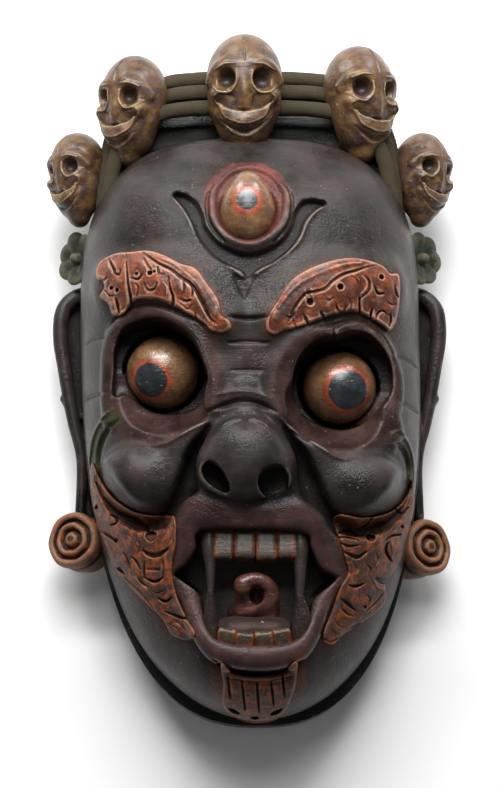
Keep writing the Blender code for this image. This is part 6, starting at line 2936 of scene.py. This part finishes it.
DISC_PAINT = Paint(
    "disc_paint", tone(78, 47, 27), tone(36, 24, 17), tone(140, 100, 74), tone(14, 7, 5),
    zones=(Zone("lift", tone(36, 31, 28), tone(15, 12, 11), level=10.5, wobble=1.5, blur=0.8),),
    rough=0.38, wear_start=0.14, wear_cover=0.5, cloud=120.0, wash=tone(70, 46, 36), wash_cover=0.65,
    stain=tone(166, 84, 20), stain_cover=0.45, shade_and_dirt_depth=0.25,
)
EYE_PAINT = Paint(
    "eye_paint", tone(124, 94, 60), tone(82, 58, 38), tone(176, 150, 124), tone(26, 16, 12),
    zones=(
        Zone("iris", tone(150, 60, 26), tone(104, 42, 26), level=3.0, wobble=5.0, blur=1.3, cover=0.9),
        Zone("iris", tone(34, 42, 46), tone(16, 20, 23), level=0.0, wobble=1.8, blur=0.3),
    ),
    rough=0.24, wear_start=0.5, cloud=130.0, wash=tone(96, 68, 60), wash_cover=0.6, coat=0.5, gloss=0.4,
    stain=tone(112, 58, 40), stain_cover=0.35,
)
TOOTH_PAINT = Paint(
    "tooth_paint", tone(60, 48, 35), tone(33, 26, 21), tone(128, 108, 82), tone(18, 10, 6),
    zones=(
        Zone("gap", tone(136, 60, 22), tone(66, 26, 16), level=1.0, wobble=4.5, blur=0.8, cover=0.7),
        Zone("root", tone(104, 50, 20), tone(60, 28, 16), level=1.5, wobble=6.0, blur=1.4, cover=0.6),
    ),
    rough=0.38, wear_start=0.5, wear_cover=0.4, cloud=180.0, wash=tone(44, 38, 36), wash_cover=0.6,
        coat=0.1,
    stain=tone(84, 54, 28), stain_cover=0.4,
)
GUM_PAINT = Paint(
    "gum_paint", tone(86, 60, 52), tone(54, 36, 32), tone(160, 138, 118), tone(14, 7, 6),
    rough=0.5, wear_start=0.34, wear_cover=0.6, cloud=150.0, wash=tone(66, 48, 44), wash_cover=0.6,
        gloss=0.2,
)
TONGUE_PAINT = Paint(
    "tongue_paint", tone(88, 48, 40), tone(44, 23, 20), tone(150, 112, 100), tone(8, 3, 3),
    rough=0.30, wear_start=0.14, wear_cover=0.45, cloud=120.0, coat=0.3, wash=tone(70, 50, 46),
        wash_cover=0.5,
)


# ---------------------------------------------------------------- stage


@dataclass(frozen=True)
class SoftLight:
    """A soft box.

    Attributes:
        name: Its name.
        tilt: Degrees off vertical, towards the crown when positive.
        turn: Degrees off the middle, towards the right ear when positive.
        far: Distance from the mask in metres.
        size: Width and height in metres.
        watts: Power.
    """

    name: str
    tilt: float
    turn: float
    far: float
    size: tuple[float, float]
    watts: float

    def hang(self, aim: Vector) -> None:
        """Hangs the light so that it faces a point.

        Args:
            aim: The point that it faces.
        """
        lamp = bpy.data.lights.new(self.name, "AREA")
        lamp.shape, lamp.size, lamp.size_y, lamp.energy = "RECTANGLE", *self.size, self.watts
        obj = bpy.data.objects.new(self.name, lamp)
        tilt, turn = math.radians(self.tilt), math.radians(self.turn)
        way = Vector((math.sin(turn) * math.cos(tilt), math.sin(tilt), math.cos(turn) * math.cos(tilt)))
        obj.location = aim + way.normalized() * self.far
        obj.rotation_euler = way.to_track_quat("Z", "Y").to_euler()
        bpy.context.scene.collection.objects.link(obj)


@dataclass(frozen=True)
class Stage:
    """Pale floor, soft studio light and the camera.

    Attributes:
        lights: The soft boxes.
        glow: Brightness of the white room.
        floor: Half the floor's width in metres.
        pale: How much light the floor gives back.
        aim: Point that the camera looks at.
        far: Distance from the camera to that point.
        lean: Degrees that the camera leans towards the chin.
        lens: Focal length in millimetres.
        sensor: Width of the sensor in millimetres.
    """

    lights: tuple[SoftLight, ...] = (
        SoftLight("crown_strip", 42.0, -4.0, 1.25, (1.2, 0.17), 22.0),
        SoftLight("crown_left", 54.0, -50.0, 1.3, (0.3, 0.4), 7.5),
        SoftLight("crown_right", 54.0, 50.0, 1.3, (0.3, 0.4), 6.5),
        SoftLight("overhead", 28.0, 0.0, 2.4, (1.0, 1.0), 32.0),
    )
    glow: float = 0.2
    floor: float = 4.0
    pale: float = 0.78
    aim: Point = (0.0, -0.0128, 0.075)
    far: float = 1.256
    lean: float = 10.0
    lens: float = 100.0
    sensor: float = 36.0

    def set_up(self, low: float) -> None:
        """Lays the floor, hangs the lights and places the camera.

        Args:
            low: Height of the mask's lowest point in metres.
        """
        mesh = bpy.data.meshes.new("studio_floor")
        square = ((-1, -1), (1, -1), (1, 1), (-1, 1))
        mesh.from_pydata([(x * self.floor, y * self.floor, low) for x, y in square], [], [(0, 1, 2, 3)])
        floor = new_object("studio_floor", mesh)
        paint = bpy.data.materials.new("floor_white")
        paint.use_nodes = True
        shader = paint.node_tree.nodes["Principled BSDF"]
        shader.inputs["Base Color"].default_value = (self.pale, self.pale, self.pale, 1.0)
        shader.inputs["Roughness"].default_value = 0.7
        shader.inputs["Specular IOR Level"].default_value = 0.2
        dress(floor, paint)
        world = bpy.data.worlds.new("studio")
        world.use_nodes = True
        room = world.node_tree.nodes["Background"]
        room.inputs["Color"].default_value = (1.0, 1.0, 1.0, 1.0)
        room.inputs["Strength"].default_value = self.glow
        bpy.context.scene.world = world
        bpy.context.scene.view_settings.view_transform = "Standard"
        for light in self.lights:
            light.hang(Vector(self.aim))
        lean = math.radians(self.lean)
        back = Vector((0.0, -math.sin(lean), math.cos(lean)))
        lens = bpy.data.cameras.new("camera")
        lens.lens, lens.sensor_width, lens.clip_start = self.lens, self.sensor, 0.01
        camera = bpy.data.objects.new("camera", lens)
        camera.location = Vector(self.aim) + back * self.far
        camera.rotation_euler = back.to_track_quat("Z", "Y").to_euler()
        bpy.context.scene.collection.objects.link(camera)
        bpy.context.scene.camera = camera


# ---------------------------------------------------------------- putting it together


class Finish:
    """Every paint of the mask, made once."""

    def __init__(self) -> None:
        """Builds the shared groups and the materials."""
        effects = Effects()
        self.head = HEAD_PAINT.make(effects)
        self.hair = {Hair.BROW: BROW_PAINT.make(effects), Hair.BEARD: BEARD_PAINT.make(effects)}
        self.bone = BONE_PAINT.make(effects)
        self.crown = CROWN_PAINT.make(effects)
        self.rosette = ROSETTE_PAINT.make(effects)
        self.disc = DISC_PAINT.make(effects)
        self.eye = EYE_PAINT.make(effects)
        self.tooth = TOOTH_PAINT.make(effects)
        self.tongue = TONGUE_PAINT.make(effects)
        self.gum = GUM_PAINT.make(effects)


def seat(made: list[Piece]) -> None:
    """Slides the pieces together until their middle lies over the middle of the plain model.

    Args:
        made: The finished pieces.
    """
    places = np.concatenate([places_of(obj) for obj in made])
    middle = (places.min(axis=0) + places.max(axis=0)) / 2.0
    goal = [(low + high) / 2.0 / MM for low, high in zip(*CAD_BOUNDS)]
    shift = Vector((goal[0] - middle[0], goal[1] - middle[1], 0.0)) * MM
    LOG.info("The pieces slide by %s", [round(part / MM, 2) for part in shift])
    for obj in made:
        obj.data.transform(Matrix.Translation(shift))


def main() -> None:
    """Builds every piece, hangs each on the root, hides the plain model's part and sets up the stage."""
    finish = Finish()
    shape = Head()
    block = shape.carve()
    head = block.skin("carved_head", 190000)
    shape.paint_zones(head, block, list(RELIEFS))
    dress(head, finish.head)
    made = [head]
    for relief in RELIEFS:
        piece = relief.lay(block)
        dress(piece, finish.hair[relief.hair])
        made.append(piece)
    made += Crown().build(finish.crown)
    made += Skulls().build(finish.bone)
    made += Rosette().build(finish.rosette)
    made += EarDisc().build(finish.disc)
    made += [eye.build(finish.eye) for eye in EYES]
    made += Mouth().build(finish.tooth, finish.gum, finish.tongue)
    seat(made)
    for obj in made:
        LOG.info("%s: %d triangles", obj.name, sum(len(face.vertices) - 2 for face in obj.data.polygons))
        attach(obj, "root")
        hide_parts(NODE)
    Stage().set_up(CAD_BOUNDS[0][2])


if __name__ == "__main__":
    main()
